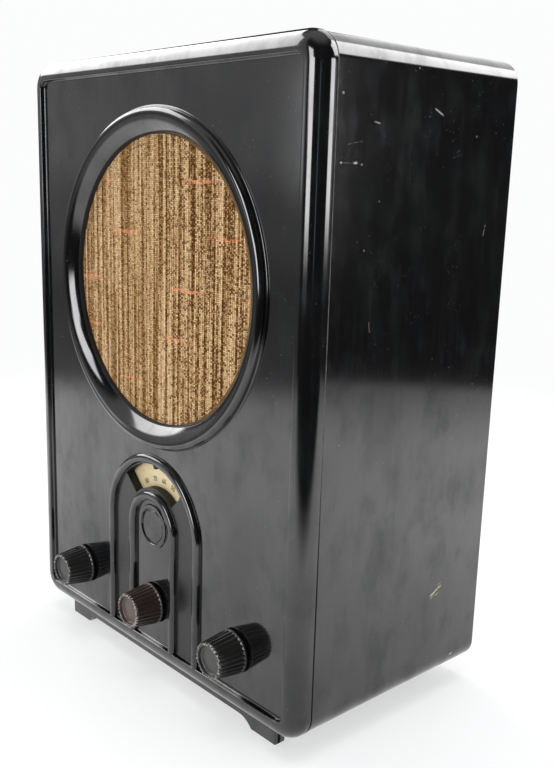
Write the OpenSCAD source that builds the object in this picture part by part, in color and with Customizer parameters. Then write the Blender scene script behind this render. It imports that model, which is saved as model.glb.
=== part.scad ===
// Tabletop mains radio in a moulded phenolic cabinet.
// Construction frame: x to the right, y backwards from the front panel's face, z up from the rim.
// in_frame() moves it so that the origin is the middle of the whole set at the level it stands on.

/* [Cabinet] */
// Width over the front rim
cab_w = 280; // [276:1:284]
// Height of the front rim, without the feet
cab_h = 385; // [382:1:392]
// Depth from the front panel's face to the back edge
cab_d = 162; // [162:1:170]
// Thickness of the side walls
wall = 4; // [3.5:0.1:4.2]
// Thickness of the front panel
panel_t = 4.4; // [4.2:0.1:4.5]
// Width of the flat rim round the panel
rim_w = 12; // [10:0.5:13]
// How far the rim stands in front of the panel
rim_proud = 2.9; // [2:0.1:3.2]
// Rounding of the rim's front edge
rim_edge_r = 10.3; // [8:0.1:11]
// Corner radius of the cabinet's front outline
outline_r = 17; // [15:1:20]

/* [Plinth] */
// Height of the feet below the rim
foot_h = 12.5; // [10:0.5:14]
// Height of the strip between the feet
strip_h = 6.9; // [5:0.1:8]
// Half the width over the feet
foot_out = 113.5; // [110:0.5:118]
// Half the clear width between the feet at the ground
foot_in = 91.7; // [88:0.1:95]

/* [Grille] */
// Height of the grille's centre
grille_z = 249; // [247:1:252]
// Radius of the visible cloth
grille_r = 88.2; // [86:0.1:89]
// Outer radius of the moulded ring
ring_r = 103.5; // [102:0.5:104]
// Height of the ring's crest over the panel
ring_h = 4.5; // [3:0.1:5]

/* [Arches and dial] */
// Height of the arches' centre, which is the dial's axis
arch_z = 90.2; // [89:0.1:92]
// Middle radius of the outer rib
rib_out_r = 46.5; // [46:0.1:47]
// Middle radius of the inner rib
rib_in_r = 22; // [21:0.1:22.5]
// Width of the outer rib
rib_out_w = 8; // [7:0.5:8]
// Width of the inner rib
rib_in_w = 9; // [8:0.5:9]
// Height of the ribs over the panel
rib_h = 3.3; // [2.5:0.1:3.6]
// Radius of the dial disc
dial_r = 46.8; // [46:0.1:46.9]
// Reading of the dial at rest, 0 to 100
reading = 62.7; // [0:0.1:100]

/* [Knobs] */
// Height of the three knobs' axis
knob_z = 38.6; // [38.5:0.1:39]
// Distance of the outer knobs from the middle
knob_x = 83.4; // [80:0.1:86]
// Distance from the panel to a knob's front face
knob_front = 20.5; // [18:0.5:22]
// Radius of a knob at its front
knob_r_front = 11.3; // [10.5:0.1:12]
// Radius of a knob at its back
knob_r_back = 13.3; // [12.5:0.1:14]
// Number of flutes round a knob
flutes = 28; // [20:1:32]

/* [Loudspeaker] */
// Thickness of the baffle board
board_t = 6; // [5:0.5:8]
// Depth of the basket behind the board
basket_d = 54; // [48:1:56]
// Number of arms in the basket
basket_arms = 6; // [4:1:8]

/* [Tuning condenser] */
// Radius of the rotor plates
rotor_r = 23; // [20:0.5:24]
// Number of rotor plates
rotor_plates = 7; // [4:1:7]
// Distance from one rotor plate to the next
plate_pitch = 3.6; // [3.2:0.1:3.6]

/* [Chassis] */
// Height of the chassis deck's top
deck_z = 62; // [61:0.5:62]
// Half the width of the chassis
chassis_x = 120; // [118:1:121]
// Sheet thickness of the chassis
sheet = 1.2; // [1:0.1:1.5]

/* [Back cover] */
// Thickness of the fibreboard
back_t = 3; // [2.5:0.5:3]
// Radius of the round vents
vent_r = 4; // [3:0.5:5]

/* [Hidden] */
$fn = 64;
eps = 0.5;                             // overlap that makes touching lumps a single piece
run_gap = 0.05;                        // radial clearance of a shaft in its bearing

body_inset = 1;                        // the side walls stand this far inside the rim
body_r = 14;
rim_depth = 10.3;                      // from the panel's face back to the joint of rim and side wall
inner_x = cab_w/2 - body_inset - wall;
floor_z = body_inset + wall;
ceiling_z = cab_h - body_inset - wall;

cloth_t = 0.8;
board_y = panel_t + cloth_t;           // front face of the baffle board
basket_y = board_y + board_t;          // the basket's flange lies on the board's back
board_x = 118;
board_z = 107;
board_boss = [100, 96];                // bosses of the baffle board, from the grille's centre
speaker_r = 86;

cover_y = 154;                         // front face of the back cover
cover_boss_x = inner_x - 6;
cover_boss_z = [floor_z + 6, ceiling_z - 6];
boss_r = 6.5;

front_apron_y = 14;
rear_apron_y = 142;                    // rear face of the rear apron
flange_z = 12;                         // underside of the chassis
bend_r = 2;                            // outside radius of the sheet's bends
chassis_boss = [100, 30, 130];         // half distance in x, then front and rear y

shaft_r = 3;
shaft_tip = 15;                        // the shafts reach this far in front of the panel
knob_gap = 1.3;                        // between a knob and the panel
grub_r = 1.45;
grub_y = 7;                            // the grub screws lie this far in front of the panel
tuning_screw = -100;                   // where each knob's grub screw points, up from the right
coupling_screw = 95;
reaction_screw = -120;
panel_hole_r = 4.5;

dial_y = 6.6;
dial_t = 1;
scale_turn = 180;                      // the scale spans half a turn
window_r = [27, 43];                    // the outer edge bites a little into the outer rib's foot
window_half_angle = 45;
pulley_gap = 0.2;                      // between the disc's edge and the pulley's core
pulley_r = arch_z - knob_z - dial_r - pulley_gap;
pulley_side_gap = 0.3;
pulley_flange = 0.9;

frame_y = [16, 52];                    // outer faces of the condenser's end plates
frame_t = 2;
frame_x = 29;
frame_top = arch_z + 28;
rod_x = 25;                            // spacer rods of the frame, from its middle
rod_dz = 24;
plate_t = 0.8;
rotor_y = 22.2;                        // front face of the first rotor plate
stator_rod = [23.5, 16.5];             // from the dial's axis
stator_gap = (plate_pitch - 2*plate_t)/2;
meshed_angle = 180;                    // the rotor points left, to the stator, when fully meshed
rotor_angle = meshed_angle + (100 - reading)*scale_turn/100;

coil_y = 62;                           // middle of the aerial coupler
swivel_rest = 45;                      // tilt of the swivel coil at rest
reaction_y = 36;                       // front face of the reaction condenser's vane

valve_y = 112;
valve_x = [-86, -34, 20];              // detector, output, rectifier
socket_t = 6;
base_z = deck_z + socket_t + 0.5;
base_h = 28;
base_r = 15.5;

socket_x = [-65, -45, -25];
rear_z = 38;                           // height of sockets, switch and cord inlet
strip_t = 4;
switch_x = 60;
switch_pivot_y = 145;
lever_rest = -12;                      // the lever points down at rest
inlet_x = 100;
inlet_r = 3.5;

back_y = max(cab_d, cover_y + back_t);
mid_y = (back_y - knob_front)/2;       // middle of the whole set from the knobs' faces to the back edge

// ---------- helpers ----------

// Moves a piece from the construction frame to the set's own origin
module in_frame() {
    translate([0, -mid_y, foot_h]) children();
}

// Extrudes a front-view outline (x, z) from depth y0 back to depth y1
module slab(y0, y1) {
    translate([0, y1, 0]) rotate([90, 0, 0]) linear_extrude(height = y1 - y0) children();
}

// Round bar along y
module bar_y(x, z, y0, y1, r) {
    translate([x, y1, z]) rotate([90, 0, 0]) cylinder(h = y1 - y0, r = r);
}

// Turns a profile (radius, distance forward) about an axis along y
module turned(x, z, angle = 360) {
    translate([x, 0, z]) rotate([90, 0, 0]) rotate_extrude(angle = angle) children();
}

module rounded_rect(w, h, r) {
    offset(r = r, $fn = 32) square([w - 2*r, h - 2*r], center = true);
}

// Points of an arc about (cx, cy), both ends included
function arc(cx, cy, r, a0, a1, n) =
    [for (i = [0:n]) [cx + r*cos(a0 + (a1 - a0)*i/n), cy + r*sin(a0 + (a1 - a0)*i/n)]];

// Ring sector from angle a0 to a1
module sector(r0, r1, a0, a1) {
    polygon(concat(arc(0, 0, r1, a0, a1, 16), r0 > 0 ? arc(0, 0, r0, a1, a0, 16) : [[0, 0]]));
}

// Children repeated at the four places (x, z) of a rectangle's corners
module at_corners(dx, dz) {
    for (x = [-dx, dx], z = [-dz, dz]) translate([x, 0, z]) children();
}

// Domed screw along y: the head's underside is at y = 0 and faces forward
module cover_screw(shank_r, length, head_r, head_h) {
    bar_y(0, 0, -length, 0, shank_r);
    difference() {
        turned(0, 0) {
            intersection() {
                translate([0, -head_h]) square([head_r, head_h]);
                translate([0, head_r - head_h]) circle(head_r);
            }
        }
        translate([-head_r, head_h - 0.7, -0.5]) cube([2*head_r, head_h, 1]);
    }
}

// ---------- cabinet ----------

// Section of the rim outward from the corner's centre, with its rounded front edge
module rim_section() {
    depth = rim_depth + rim_proud;
    translate([0, -rim_depth]) {
        square([outline_r - rim_edge_r, depth]);
        square([outline_r, depth - rim_edge_r]);
        translate([outline_r - rim_edge_r, depth - rim_edge_r]) intersection() {
            circle(rim_edge_r);
            square(rim_edge_r);
        }
    }
}

// The rim's slab: its section turned round the corners and drawn along the four edges
module rim_slab() {
    hx = cab_w/2 - outline_r;
    hz = cab_h/2 - outline_r;
    translate([0, 0, cab_h/2]) {
        slab(-rim_proud, rim_depth) square([2*hx, 2*hz], center = true);
        for (i = [0:3]) {
            side = i % 2 == 0 ? 1 : -1;
            reach = side > 0 ? hx : hz;
            along = side > 0 ? hz : hx;
            rotate([0, -90*i, 0]) {
                translate([reach, 0, along]) turned(0, 0, 90) rim_section();
                translate([reach, 0, -along]) linear_extrude(height = 2*along)
                    mirror([0, 1]) rim_section();
            }
        }
    }
}

// Half-round rib section, (across, forward), rooted in the panel
module rib_section(width) {
    root = 1;
    r = (pow(width/2, 2) + pow(rib_h, 2))/(2*rib_h);
    intersection() {
        translate([0, rib_h - r]) circle(r);
        translate([-width, -root]) square([2*width, 2*width]);
    }
}

module arch_rib(radius, width) {
    turned(0, arch_z, 180) translate([radius, 0]) rib_section(width);
    for (x = [-radius, radius])
        translate([x, 0, rim_w]) linear_extrude(height = arch_z - rim_w)
            mirror([0, 1]) rib_section(width);
}

// Ring round the grille: a close outer edge, a broad slope that falls inward, and a short upright wall
module grille_ring() {
    edge_r = 3.4;
    slope_r = 20;
    join = 102;                        // where the slope runs on from the outer edge
    slope_end = 137;
    crest_x = ring_r - edge_r;
    crest_y = ring_h - edge_r;
    more_r = slope_r - edge_r;
    turned(0, grille_z) polygon(concat(
        [[crest_x, -panel_t], [ring_r, -panel_t/2]],
        arc(crest_x, crest_y, edge_r, 0, join, 8),
        arc(crest_x - more_r*cos(join), crest_y - more_r*sin(join), slope_r, join, slope_end, 8),
        [[grille_r, -panel_t + 0.8], [grille_r, -panel_t]]
    ));
}

// Plain round boss with a groove, inside the inner arch
module medallion() {
    turned(0, arch_z + 1.6) {
        translate([0, -eps]) square([10.5, eps + 0.6]);
        translate([10.5, -eps]) square([1.2, eps]);
        translate([11.7, -eps]) square([2.8, eps + 1.2]);
    }
}

// Cross wall under the floor: a foot at each end, joined to the strip by a hollow curve
module foot_wall(y0) {
    drop = foot_h - strip_h;
    curve_r = 15;
    reach = sqrt(pow(curve_r, 2) - pow(curve_r - drop, 2));
    ends = acos(reach/curve_r);
    half = concat(
        [[foot_out, body_inset + eps], [foot_out, -foot_h]],
        arc(foot_in - reach, -strip_h - curve_r, curve_r, ends, 90, 6)
    );
    for (side = [0, 1]) mirror([side, 0, 0])
        slab(y0, y0 + 8) polygon(concat(half, [[0, -strip_h], [0, body_inset + eps]]));
}

// Back edge of the dial window, and the small tooth that marks the reading
module window_frame() {
    border = 3;
    more = window_half_angle + 5;
    tooth = window_r[1] - 4.4;
    translate([0, 0, arch_z]) {
        slab(panel_t - eps, dial_y - 0.8) difference() {
            sector(window_r[0] - border, window_r[1] + border, 90 - more, 90 + more);
            sector(window_r[0], window_r[1], 90 - window_half_angle, 90 + window_half_angle);
        }
        slab(1, panel_t)
            polygon([[-3, window_r[1] + eps], [3, window_r[1] + eps], [1.3, tooth], [-1.3, tooth]]);
    }
}

module cabinet_walls() {
    difference() {
        union() {
            rim_slab();
            slab(rim_depth - eps, cab_d) translate([0, cab_h/2])
                rounded_rect(cab_w - 2*body_inset, cab_h - 2*body_inset, body_r);
        }
        slab(-rim_proud - eps, 0) translate([0, cab_h/2])
            rounded_rect(cab_w - 2*rim_w, cab_h - 2*rim_w, outline_r - rim_w);
        slab(panel_t, cab_d + eps) translate([0, cab_h/2])
            rounded_rect(2*inner_x, ceiling_z - floor_z, body_r - wall);
        bar_y(0, grille_z, -eps, panel_t + eps, ring_r - 5);
    }
}

module cabinet() {
    color([0.06, 0.055, 0.05]) difference() {
        union() {
            cabinet_walls();
            grille_ring();
            arch_rib(rib_out_r, rib_out_w);
            arch_rib(rib_in_r, rib_in_w);
            medallion();
            for (x = [-cover_boss_x, cover_boss_x], z = cover_boss_z)
                bar_y(x, z, panel_t - eps, cover_y, boss_r);
            translate([0, 0, grille_z]) at_corners(board_boss[0], board_boss[1])
                bar_y(0, 0, panel_t - eps, basket_y - 0.3, 5);
            for (x = [-1, 1], y = [chassis_boss[1], chassis_boss[2]])
                translate([x*chassis_boss[0], y, floor_z - eps])
                    cylinder(h = flange_z - floor_z + eps, r = 6);
            foot_wall(7);
            foot_wall(cab_d - 16);
        }
        translate([0, 0, arch_z]) slab(-rib_h - eps, dial_y)
            sector(window_r[0], window_r[1], 90 - window_half_angle, 90 + window_half_angle);
        for (x = [-knob_x, 0, knob_x]) bar_y(x, knob_z, -eps, panel_t + eps, panel_hole_r);
        for (x = [-cover_boss_x, cover_boss_x], z = cover_boss_z)
            bar_y(x, z, cover_y - 18, cover_y + eps, 1.7);
        translate([0, 0, grille_z]) at_corners(board_boss[0], board_boss[1])
            bar_y(0, 0, panel_t - 1, basket_y, 1.6);
        for (x = [-1, 1], y = [chassis_boss[1], chassis_boss[2]])
            translate([x*chassis_boss[0], y, 0]) cylinder(h = flange_z + eps, r = 2.2);
    }
    color([0.06, 0.055, 0.05]) window_frame();
}

module grille_cloth() {
    color([0.62, 0.48, 0.28]) bar_y(0, grille_z, panel_t, board_y, ring_r - 3.5);
}

// ---------- knobs and their screws ----------

// Fluted outline of unit radius: shallow round hollows between narrow lands
module fluted_outline() {
    step = 360/flutes;
    polygon([for (i = [0:flutes - 1], p = [[0, 1], [0.3, 1], [0.48, 0.945], [0.82, 0.945]])
        p[1]*[cos((i + p[0])*step), sin((i + p[0])*step)]]);
}

// Section of the shallow dish in a knob's face, with a low dome for its floor
module knob_hollow() {
    lip_r = knob_r_front - 2.4;
    depth = 2.3;
    dome = 0.6;
    polygon([
        [0, knob_front - depth + dome], [lip_r*0.4, knob_front - depth + dome*0.85],
        [lip_r*0.7, knob_front - depth + dome*0.5], [lip_r - 0.9, knob_front - depth + 0.05],
        [lip_r - 0.4, knob_front - depth + 0.3], [lip_r, knob_front + eps], [0, knob_front + eps]
    ]);
}

// Tapered, fluted knob on the axis of its shaft, with a plain flange at the back.
// Its grub screw's hole points screw_angle degrees up from the right.
module knob(x, screw_angle) {
    flange = 1.5;
    length = knob_front - knob_gap - flange;
    translate([x, 0, knob_z]) difference() {
        union() {
            translate([0, -knob_gap - flange, 0]) rotate([90, 0, 0])
                linear_extrude(height = length, scale = knob_r_front/knob_r_back)
                    scale(knob_r_back) fluted_outline();
            bar_y(0, 0, -knob_gap - flange, -knob_gap, knob_r_back + 0.3);
        }
        turned(0, 0) knob_hollow();
        bar_y(0, 0, -shaft_tip - 0.5, -knob_gap + 1, shaft_r);
        translate([0, -grub_y, 0]) rotate([0, 90 - screw_angle, 0])
            cylinder(h = 2*knob_r_back, r = grub_r + run_gap);
    }
}

// Slotted grub screw in the knob's side, bearing on the shaft
module grub_screw(x, screw_angle) {
    length = 7;
    translate([x, -grub_y, knob_z]) rotate([0, 90 - screw_angle, 0]) difference() {
        translate([0, 0, shaft_r]) cylinder(h = length, r = grub_r);
        translate([-2, -0.3, shaft_r + length - 1]) cube([4, 0.6, 2]);
    }
}

module tuning_knob() { color([0.2, 0.1, 0.08]) knob(0, tuning_screw); }
module coupling_knob() { color([0.07, 0.07, 0.07]) knob(-knob_x, coupling_screw); }
module reaction_knob() { color([0.07, 0.07, 0.07]) knob(knob_x, reaction_screw); }
module tuning_grub_screw() { color("silver") grub_screw(0, tuning_screw); }
module coupling_grub_screw() { color("silver") grub_screw(-knob_x, coupling_screw); }
module reaction_grub_screw() { color("silver") grub_screw(knob_x, reaction_screw); }

// ---------- tuning drive and dial ----------

// Spindle with the grooved pulley that grips the edge of the dial disc
module tuning_shaft() {
    groove = [dial_y - pulley_side_gap, dial_y + dial_t + pulley_side_gap];
    flange_r = pulley_r + 2.6;
    color("silver") {
        bar_y(0, knob_z, -shaft_tip, 25, shaft_r);
        bar_y(0, knob_z, groove[0] - pulley_flange, groove[0], flange_r);
        bar_y(0, knob_z, groove[0], groove[1], pulley_r);
        bar_y(0, knob_z, groove[1], groove[1] + pulley_flange, flange_r);
        bar_y(0, knob_z, 22.3, 23.5, 5);
    }
}

// Threaded bearing of each control, held in the chassis by a hexagon nut
module shaft_bushes() {
    color([0.75, 0.65, 0.35]) for (x = [-knob_x, 0, knob_x]) difference() {
        union() {
            bar_y(x, knob_z, 9.6, 22, 5);
            translate([x, front_apron_y, knob_z]) rotate([90, 0, 0]) cylinder(h = 3, r = 8, $fn = 6);
            bar_y(x, knob_z, front_apron_y + sheet, front_apron_y + sheet + 2, 7.5);
        }
        bar_y(x, knob_z, 9, 23, shaft_r + run_gap);
    }
}

module dial_disc() {
    color([0.93, 0.86, 0.66]) difference() {
        bar_y(0, arch_z, dial_y, dial_y + dial_t, dial_r);
        bar_y(0, arch_z, dial_y - eps, dial_y + dial_t + eps, shaft_r);
    }
}

module dial_hub() {
    color([0.75, 0.65, 0.35]) difference() {
        union() {
            bar_y(0, arch_z, dial_y + dial_t, dial_y + dial_t + 1.2, 11);
            bar_y(0, arch_z, dial_y + dial_t + 1.2, 11.7, 6.5);
        }
        bar_y(0, arch_z, dial_y, 12, shaft_r);
    }
}

// ---------- tuning condenser ----------

module condenser_end_plate(y) {
    slab(y, y + frame_t) difference() {
        translate([-frame_x, deck_z]) square([2*frame_x, frame_top - deck_z]);
        for (side = [-1, 1]) translate([-stator_rod[0], arch_z + side*stator_rod[1]]) circle(4);
        for (x = [-frame_x, frame_x]) translate([x, frame_top]) rotate(45) square(8, center = true);
        translate([0, arch_z]) circle(shaft_r + run_gap);
    }
}

// Two end plates on four spacer rods, with a bearing collar at the front
module condenser_frame() {
    color([0.75, 0.75, 0.72]) {
        condenser_end_plate(frame_y[0]);
        condenser_end_plate(frame_y[1] - frame_t);
        translate([0, 0, arch_z]) at_corners(rod_x, rod_dz)
            bar_y(0, 0, frame_y[0] + frame_t, frame_y[1] - frame_t, 2);
        difference() {
            bar_y(0, arch_z, 12, frame_y[0], 6);
            bar_y(0, arch_z, 11, frame_y[0] + 1, shaft_r + run_gap);
        }
    }
}

// Fixed plates, one in each gap of the rotor, carried by two rods
module condenser_stator() {
    color("gainsboro") {
        for (i = [0:rotor_plates - 2]) {
            y = rotor_y + plate_t + stator_gap + i*plate_pitch;
            translate([0, 0, arch_z]) slab(y, y + plate_t) difference() {
                translate([-27, -20.5]) square([25.5, 41]);
                circle(7);
                for (z = [-20.5, 20.5]) translate([-1.5, z]) rotate(45) square(12, center = true);
            }
        }
        for (side = [-1, 1])
            bar_y(-stator_rod[0], arch_z + side*stator_rod[1], frame_y[0] - 1.6, frame_y[1] + 1.6, 1.5);
    }
}

// Washers that keep the stator's rods clear of the frame
module stator_insulators() {
    t = 1.2;
    faces = [frame_y[0] - t, frame_y[0] + frame_t, frame_y[1] - frame_t - t, frame_y[1]];
    color([0.5, 0.27, 0.12]) for (side = [-1, 1], y = faces) difference() {
        bar_y(-stator_rod[0], arch_z + side*stator_rod[1], y, y + t, 5.4);
        bar_y(-stator_rod[0], arch_z + side*stator_rod[1], y - 1, y + t + 1, 1.5);
    }
}

// Shaft with its half-round plates, turned to match the dial's reading
module condenser_rotor() {
    color("gainsboro") {
        bar_y(0, arch_z, dial_y - eps, frame_y[1] + 4, shaft_r);
        bar_y(0, arch_z, rotor_y - 1, rotor_y + plate_pitch*(rotor_plates - 1) + plate_t + 1, 5);
        for (i = [0:rotor_plates - 1]) {
            y = rotor_y + i*plate_pitch;
            translate([0, 0, arch_z]) slab(y, y + plate_t)
                rotate(rotor_angle) sector(0, rotor_r, -90, 90);
        }
    }
}

// ---------- aerial coupler ----------

module coupling_shaft() {
    color("silver") {
        bar_y(-knob_x, knob_z, -shaft_tip, coil_y + 13, shaft_r);
        bar_y(-knob_x, knob_z, 22.3, 23.5, 5);
    }
}

// Small coil on the coupling shaft, tilted between full and no coupling
module swivel_coil() {
    half = 7;
    cheek = 1.5;
    color([0.55, 0.25, 0.1]) translate([-knob_x, coil_y, knob_z])
        rotate([0, swivel_rest, 0]) difference() {
            union() {
                translate([-half, 0, 0]) rotate([0, 90, 0]) cylinder(h = 2*half, r = 10);
                for (x = [-half, half - cheek])
                    translate([x, 0, 0]) rotate([0, 90, 0]) cylinder(h = cheek, r = 11.2);
            }
            translate([-half - 1, 0, 0]) rotate([0, 90, 0]) cylinder(h = 2*half + 2, r = 8.6);
            translate([0, 20, 0]) rotate([90, 0, 0]) cylinder(h = 40, r = shaft_r);
        }
}

// Fixed tube round the swivel coil, hung from the deck on two saddles
module coil_former() {
    under_deck = deck_z - sheet;
    color([0.5, 0.27, 0.12]) translate([-knob_x, coil_y, knob_z]) difference() {
        union() {
            translate([-24, 0, 0]) rotate([0, 90, 0]) cylinder(h = 48, r = 18);
            for (x = [-24, 20]) translate([x, -9, 10]) cube([4, 18, under_deck - knob_z - 10]);
        }
        translate([-25, 0, 0]) rotate([0, 90, 0]) cylinder(h = 50, r = 16.5);
        translate([0, 20, 0]) rotate([90, 0, 0]) cylinder(h = 40, r = shaft_r + 0.4);
    }
}

// Copper wire in two bands, left and right of the shaft
module coil_winding() {
    color([0.72, 0.4, 0.18]) for (x = [-18, 5])
        translate([-knob_x + x, coil_y, knob_z]) rotate([0, 90, 0]) difference() {
            cylinder(h = 13, r = 19);
            translate([0, 0, -1]) cylinder(h = 15, r = 18);
        }
}

// ---------- reaction condenser ----------

module reaction_rotor() {
    color("gainsboro") {
        bar_y(knob_x, knob_z, -shaft_tip, reaction_y + 12, shaft_r);
        bar_y(knob_x, knob_z, 22.3, 23.5, 5);
        bar_y(knob_x, knob_z, reaction_y - 2, reaction_y + 4.6, 5);
        for (y = [reaction_y, reaction_y + 2.6]) translate([knob_x, 0, knob_z])
            slab(y, y + 0.8) rotate(90) sector(0, 15, -90, 90);
    }
}

// Two square boards on corner spacers, with the fixed vane between the moving ones
module reaction_stator() {
    color([0.45, 0.24, 0.1]) translate([knob_x, 0, knob_z]) {
        for (y = [reaction_y - 5, reaction_y + 7]) slab(y, y + 1.6) difference() {
            square(38, center = true);
            circle(shaft_r + run_gap);
        }
        at_corners(15.5, 15.5) bar_y(0, 0, reaction_y - 3.4, reaction_y + 7, 2.2);
        slab(reaction_y + 1.5, reaction_y + 1.9) difference() {
            translate([-15.5, -15.5]) square([31, 15]);
            circle(5.6);
        }
    }
}

// ---------- loudspeaker ----------

module baffle_board() {
    color([0.6, 0.45, 0.28]) translate([0, 0, grille_z]) slab(board_y, basket_y) difference() {
        square([2*board_x, 2*board_z], center = true);
        circle(speaker_r);
        for (x = [-1, 1], z = [-1, 1]) translate([x*board_boss[0], z*board_boss[1]]) circle(5.4);
    }
}

module baffle_screws() {
    color("silver") translate([0, 0, grille_z]) at_corners(board_boss[0], board_boss[1]) {
        translate([0, basket_y + 1, 0]) cover_screw(1.5, basket_y + 1 - panel_t, 3.6, 2.2);
        difference() {
            bar_y(0, 0, basket_y, basket_y + 1, 9);
            bar_y(0, 0, basket_y - 1, basket_y + 2, 1.5);
        }
    }
}

// Pressed basket: a flange on the board, sloping arms and a rear cup
module speaker_basket() {
    metal = 1.4;
    wide = speaker_r + 3;
    narrow = 26;
    back = basket_y + basket_d;
    step = 360/basket_arms;
    color([0.35, 0.36, 0.36]) difference() {
        turned(0, grille_z) polygon([
            [wide, -basket_y], [wide + 13, -basket_y],
            [wide + 13, -basket_y - metal], [wide + 1, -basket_y - metal],
            [narrow + 1, -back], [10, -back], [10, -back + metal], [narrow, -back + metal]
        ]);
        for (i = [0:basket_arms - 1]) translate([0, 0, grille_z]) slab(basket_y + 4, back - 6)
            sector(narrow + 4, wide - 4, (i + 0.18)*step, (i + 0.82)*step);
    }
}

// Paper cone with its flat rim glued to the board's edge
module speaker_cone() {
    paper = 0.8;
    rim = 79;
    apex_r = 9;
    front = basket_y;
    apex = basket_y + 46;
    color([0.2, 0.18, 0.15]) turned(0, grille_z) polygon([
        [rim + 8.4, -front], [rim, -front], [apex_r, -apex], [0, -apex],
        [0, -apex - paper], [apex_r, -apex - paper],
        [rim, -front - paper - 0.2], [rim + 8.4, -front - paper]
    ]);
}

// Cast bridge between the basket and the magnet
module speaker_bridge() {
    back = basket_y + basket_d;
    color([0.5, 0.5, 0.5]) translate([0, 0, grille_z]) slab(back, back + 5) difference() {
        union() {
            square([80, 22], center = true);
            circle(22);
        }
        circle(7);
    }
}

// Horseshoe magnet, its poles facing down on both sides of the coil
module speaker_magnet() {
    y0 = basket_y + basket_d + 5;
    color([0.45, 0.1, 0.08]) translate([0, 0, grille_z]) slab(y0, y0 + 14) {
        translate([0, 6]) sector(20, 36, 0, 180);
        for (x = [-36, 20]) translate([x, -24]) square([16, 30]);
    }
}

// Bobbin of the moving-iron driver between the poles
module speaker_coil() {
    y0 = basket_y + basket_d + 5;
    color([0.3, 0.16, 0.08]) difference() {
        union() {
            bar_y(0, grille_z, y0, y0 + 13, 10);
            bar_y(0, grille_z, y0, y0 + 1.5, 14);
            bar_y(0, grille_z, y0 + 11.5, y0 + 13, 14);
        }
        bar_y(0, grille_z, y0 - 1, y0 + 14, 3);
    }
}

// Thin rod from the driver's reed to the cone's tip
module speaker_rod() {
    color("silver") {
        bar_y(0, grille_z, basket_y + 46.8, basket_y + basket_d + 17, 1);
        bar_y(0, grille_z, basket_y + 46.8, basket_y + 49, 4);
    }
}

// ---------- chassis ----------

// Outline (y, z) of the tray at a depth in the sheet, its corners bent on a radius
module tray_outline(depth) {
    r = bend_r - depth;
    near = front_apron_y + bend_r;
    far = rear_apron_y - bend_r;
    low = flange_z + bend_r;
    high = deck_z - bend_r;
    polygon(concat(
        arc(far, high, r, 0, 90, 5), arc(near, high, r, 90, 180, 5),
        arc(near, low, r, 180, 270, 5), arc(far, low, r, 270, 360, 5)
    ));
}

// Bent tray: deck, front and rear aprons, and inward flanges that stand on the floor's bosses
module chassis() {
    width = 2*chassis_x;
    under = deck_z - sheet;
    flange = 26;
    color([0.55, 0.56, 0.54]) difference() {
        translate([-chassis_x, 0, 0]) rotate([90, 0, 90]) linear_extrude(height = width) difference() {
            tray_outline(0);
            tray_outline(sheet);
            translate([front_apron_y + flange, flange_z - 1])
                square([rear_apron_y - front_apron_y - 2*flange, 2*sheet]);
        }
        for (x = [-knob_x, 0, knob_x]) bar_y(x, knob_z, 10, 20, 5);
        for (x = valve_x) translate([x, valve_y, under - 1]) cylinder(h = sheet + 2, r = 12);
        for (x = [-1, 1], y = [chassis_boss[1], chassis_boss[2]])
            translate([x*chassis_boss[0], y, flange_z - 1]) cylinder(h = 4, r = 2.2);
        translate([socket_x[0] - 6, rear_apron_y - 5, rear_z - 6])
            cube([socket_x[2] - socket_x[0] + 12, 10, 12]);
        bar_y(switch_x, rear_z, rear_apron_y - 5, rear_apron_y + 5, 6);
        bar_y(inlet_x, rear_z, rear_apron_y - 5, rear_apron_y + 5, 6);
        translate([72, 84, under - 1]) cube([26, 30, 4]);
    }
}

module chassis_screws() {
    color("silver") for (x = [-1, 1], y = [chassis_boss[1], chassis_boss[2]])
        translate([x*chassis_boss[0], y, body_inset]) {
            difference() {
                translate([0, 0, -2.4]) cylinder(h = 2.4, r = 4);
                translate([-5, -0.5, -3]) cube([10, 1, 1.4]);
            }
            cylinder(h = flange_z + sheet + 5 - body_inset, r = 2);
            translate([0, 0, flange_z + sheet - body_inset]) cylinder(h = 2.6, r = 4.2, $fn = 6);
        }
}

// ---------- valves ----------

function pin_angle(i) = [0, 90, 180, 262, 278][i];

module valve_sockets() {
    color([0.16, 0.1, 0.07]) for (x = valve_x) translate([x, valve_y, deck_z]) difference() {
        union() {
            cylinder(h = socket_t, r = 18);
            translate([0, 0, -4]) cylinder(h = 5, r = 11.6);
        }
        for (i = [0:4]) rotate(pin_angle(i)) translate([8, 0, -5]) cylinder(h = 20, r = 1.7);
    }
}

// Phenolic base: cup that holds the bulb's neck, and its contact pins
module valve_base(x, r) {
    color([0.12, 0.08, 0.06]) translate([x, valve_y, base_z]) {
        difference() {
            cylinder(h = base_h, r = r);
            translate([0, 0, 4]) cylinder(h = base_h, r = r - 1.6);
        }
        for (i = [0:4]) rotate(pin_angle(i)) translate([8, 0, -9]) cylinder(h = 9.5, r = 1.5);
    }
}

// Outline of a bulb: neck, rounded belly and dome, drawn to the right of its axis
module bulb_outline(neck, belly, belly_z, dome, dome_z) {
    waist = 9;                         // radius that joins the belly to the neck and the dome
    intersection() {
        offset(r = -waist, $fn = 48) offset(delta = waist, $fn = 48) {
            translate([-neck, 0]) square([2*neck, belly_z]);
            translate([0, belly_z]) circle(belly, $fn = 48);
            translate([0, dome_z]) circle(dome, $fn = 48);
        }
        square([belly + waist, dome_z + dome + waist]);
    }
}

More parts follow.
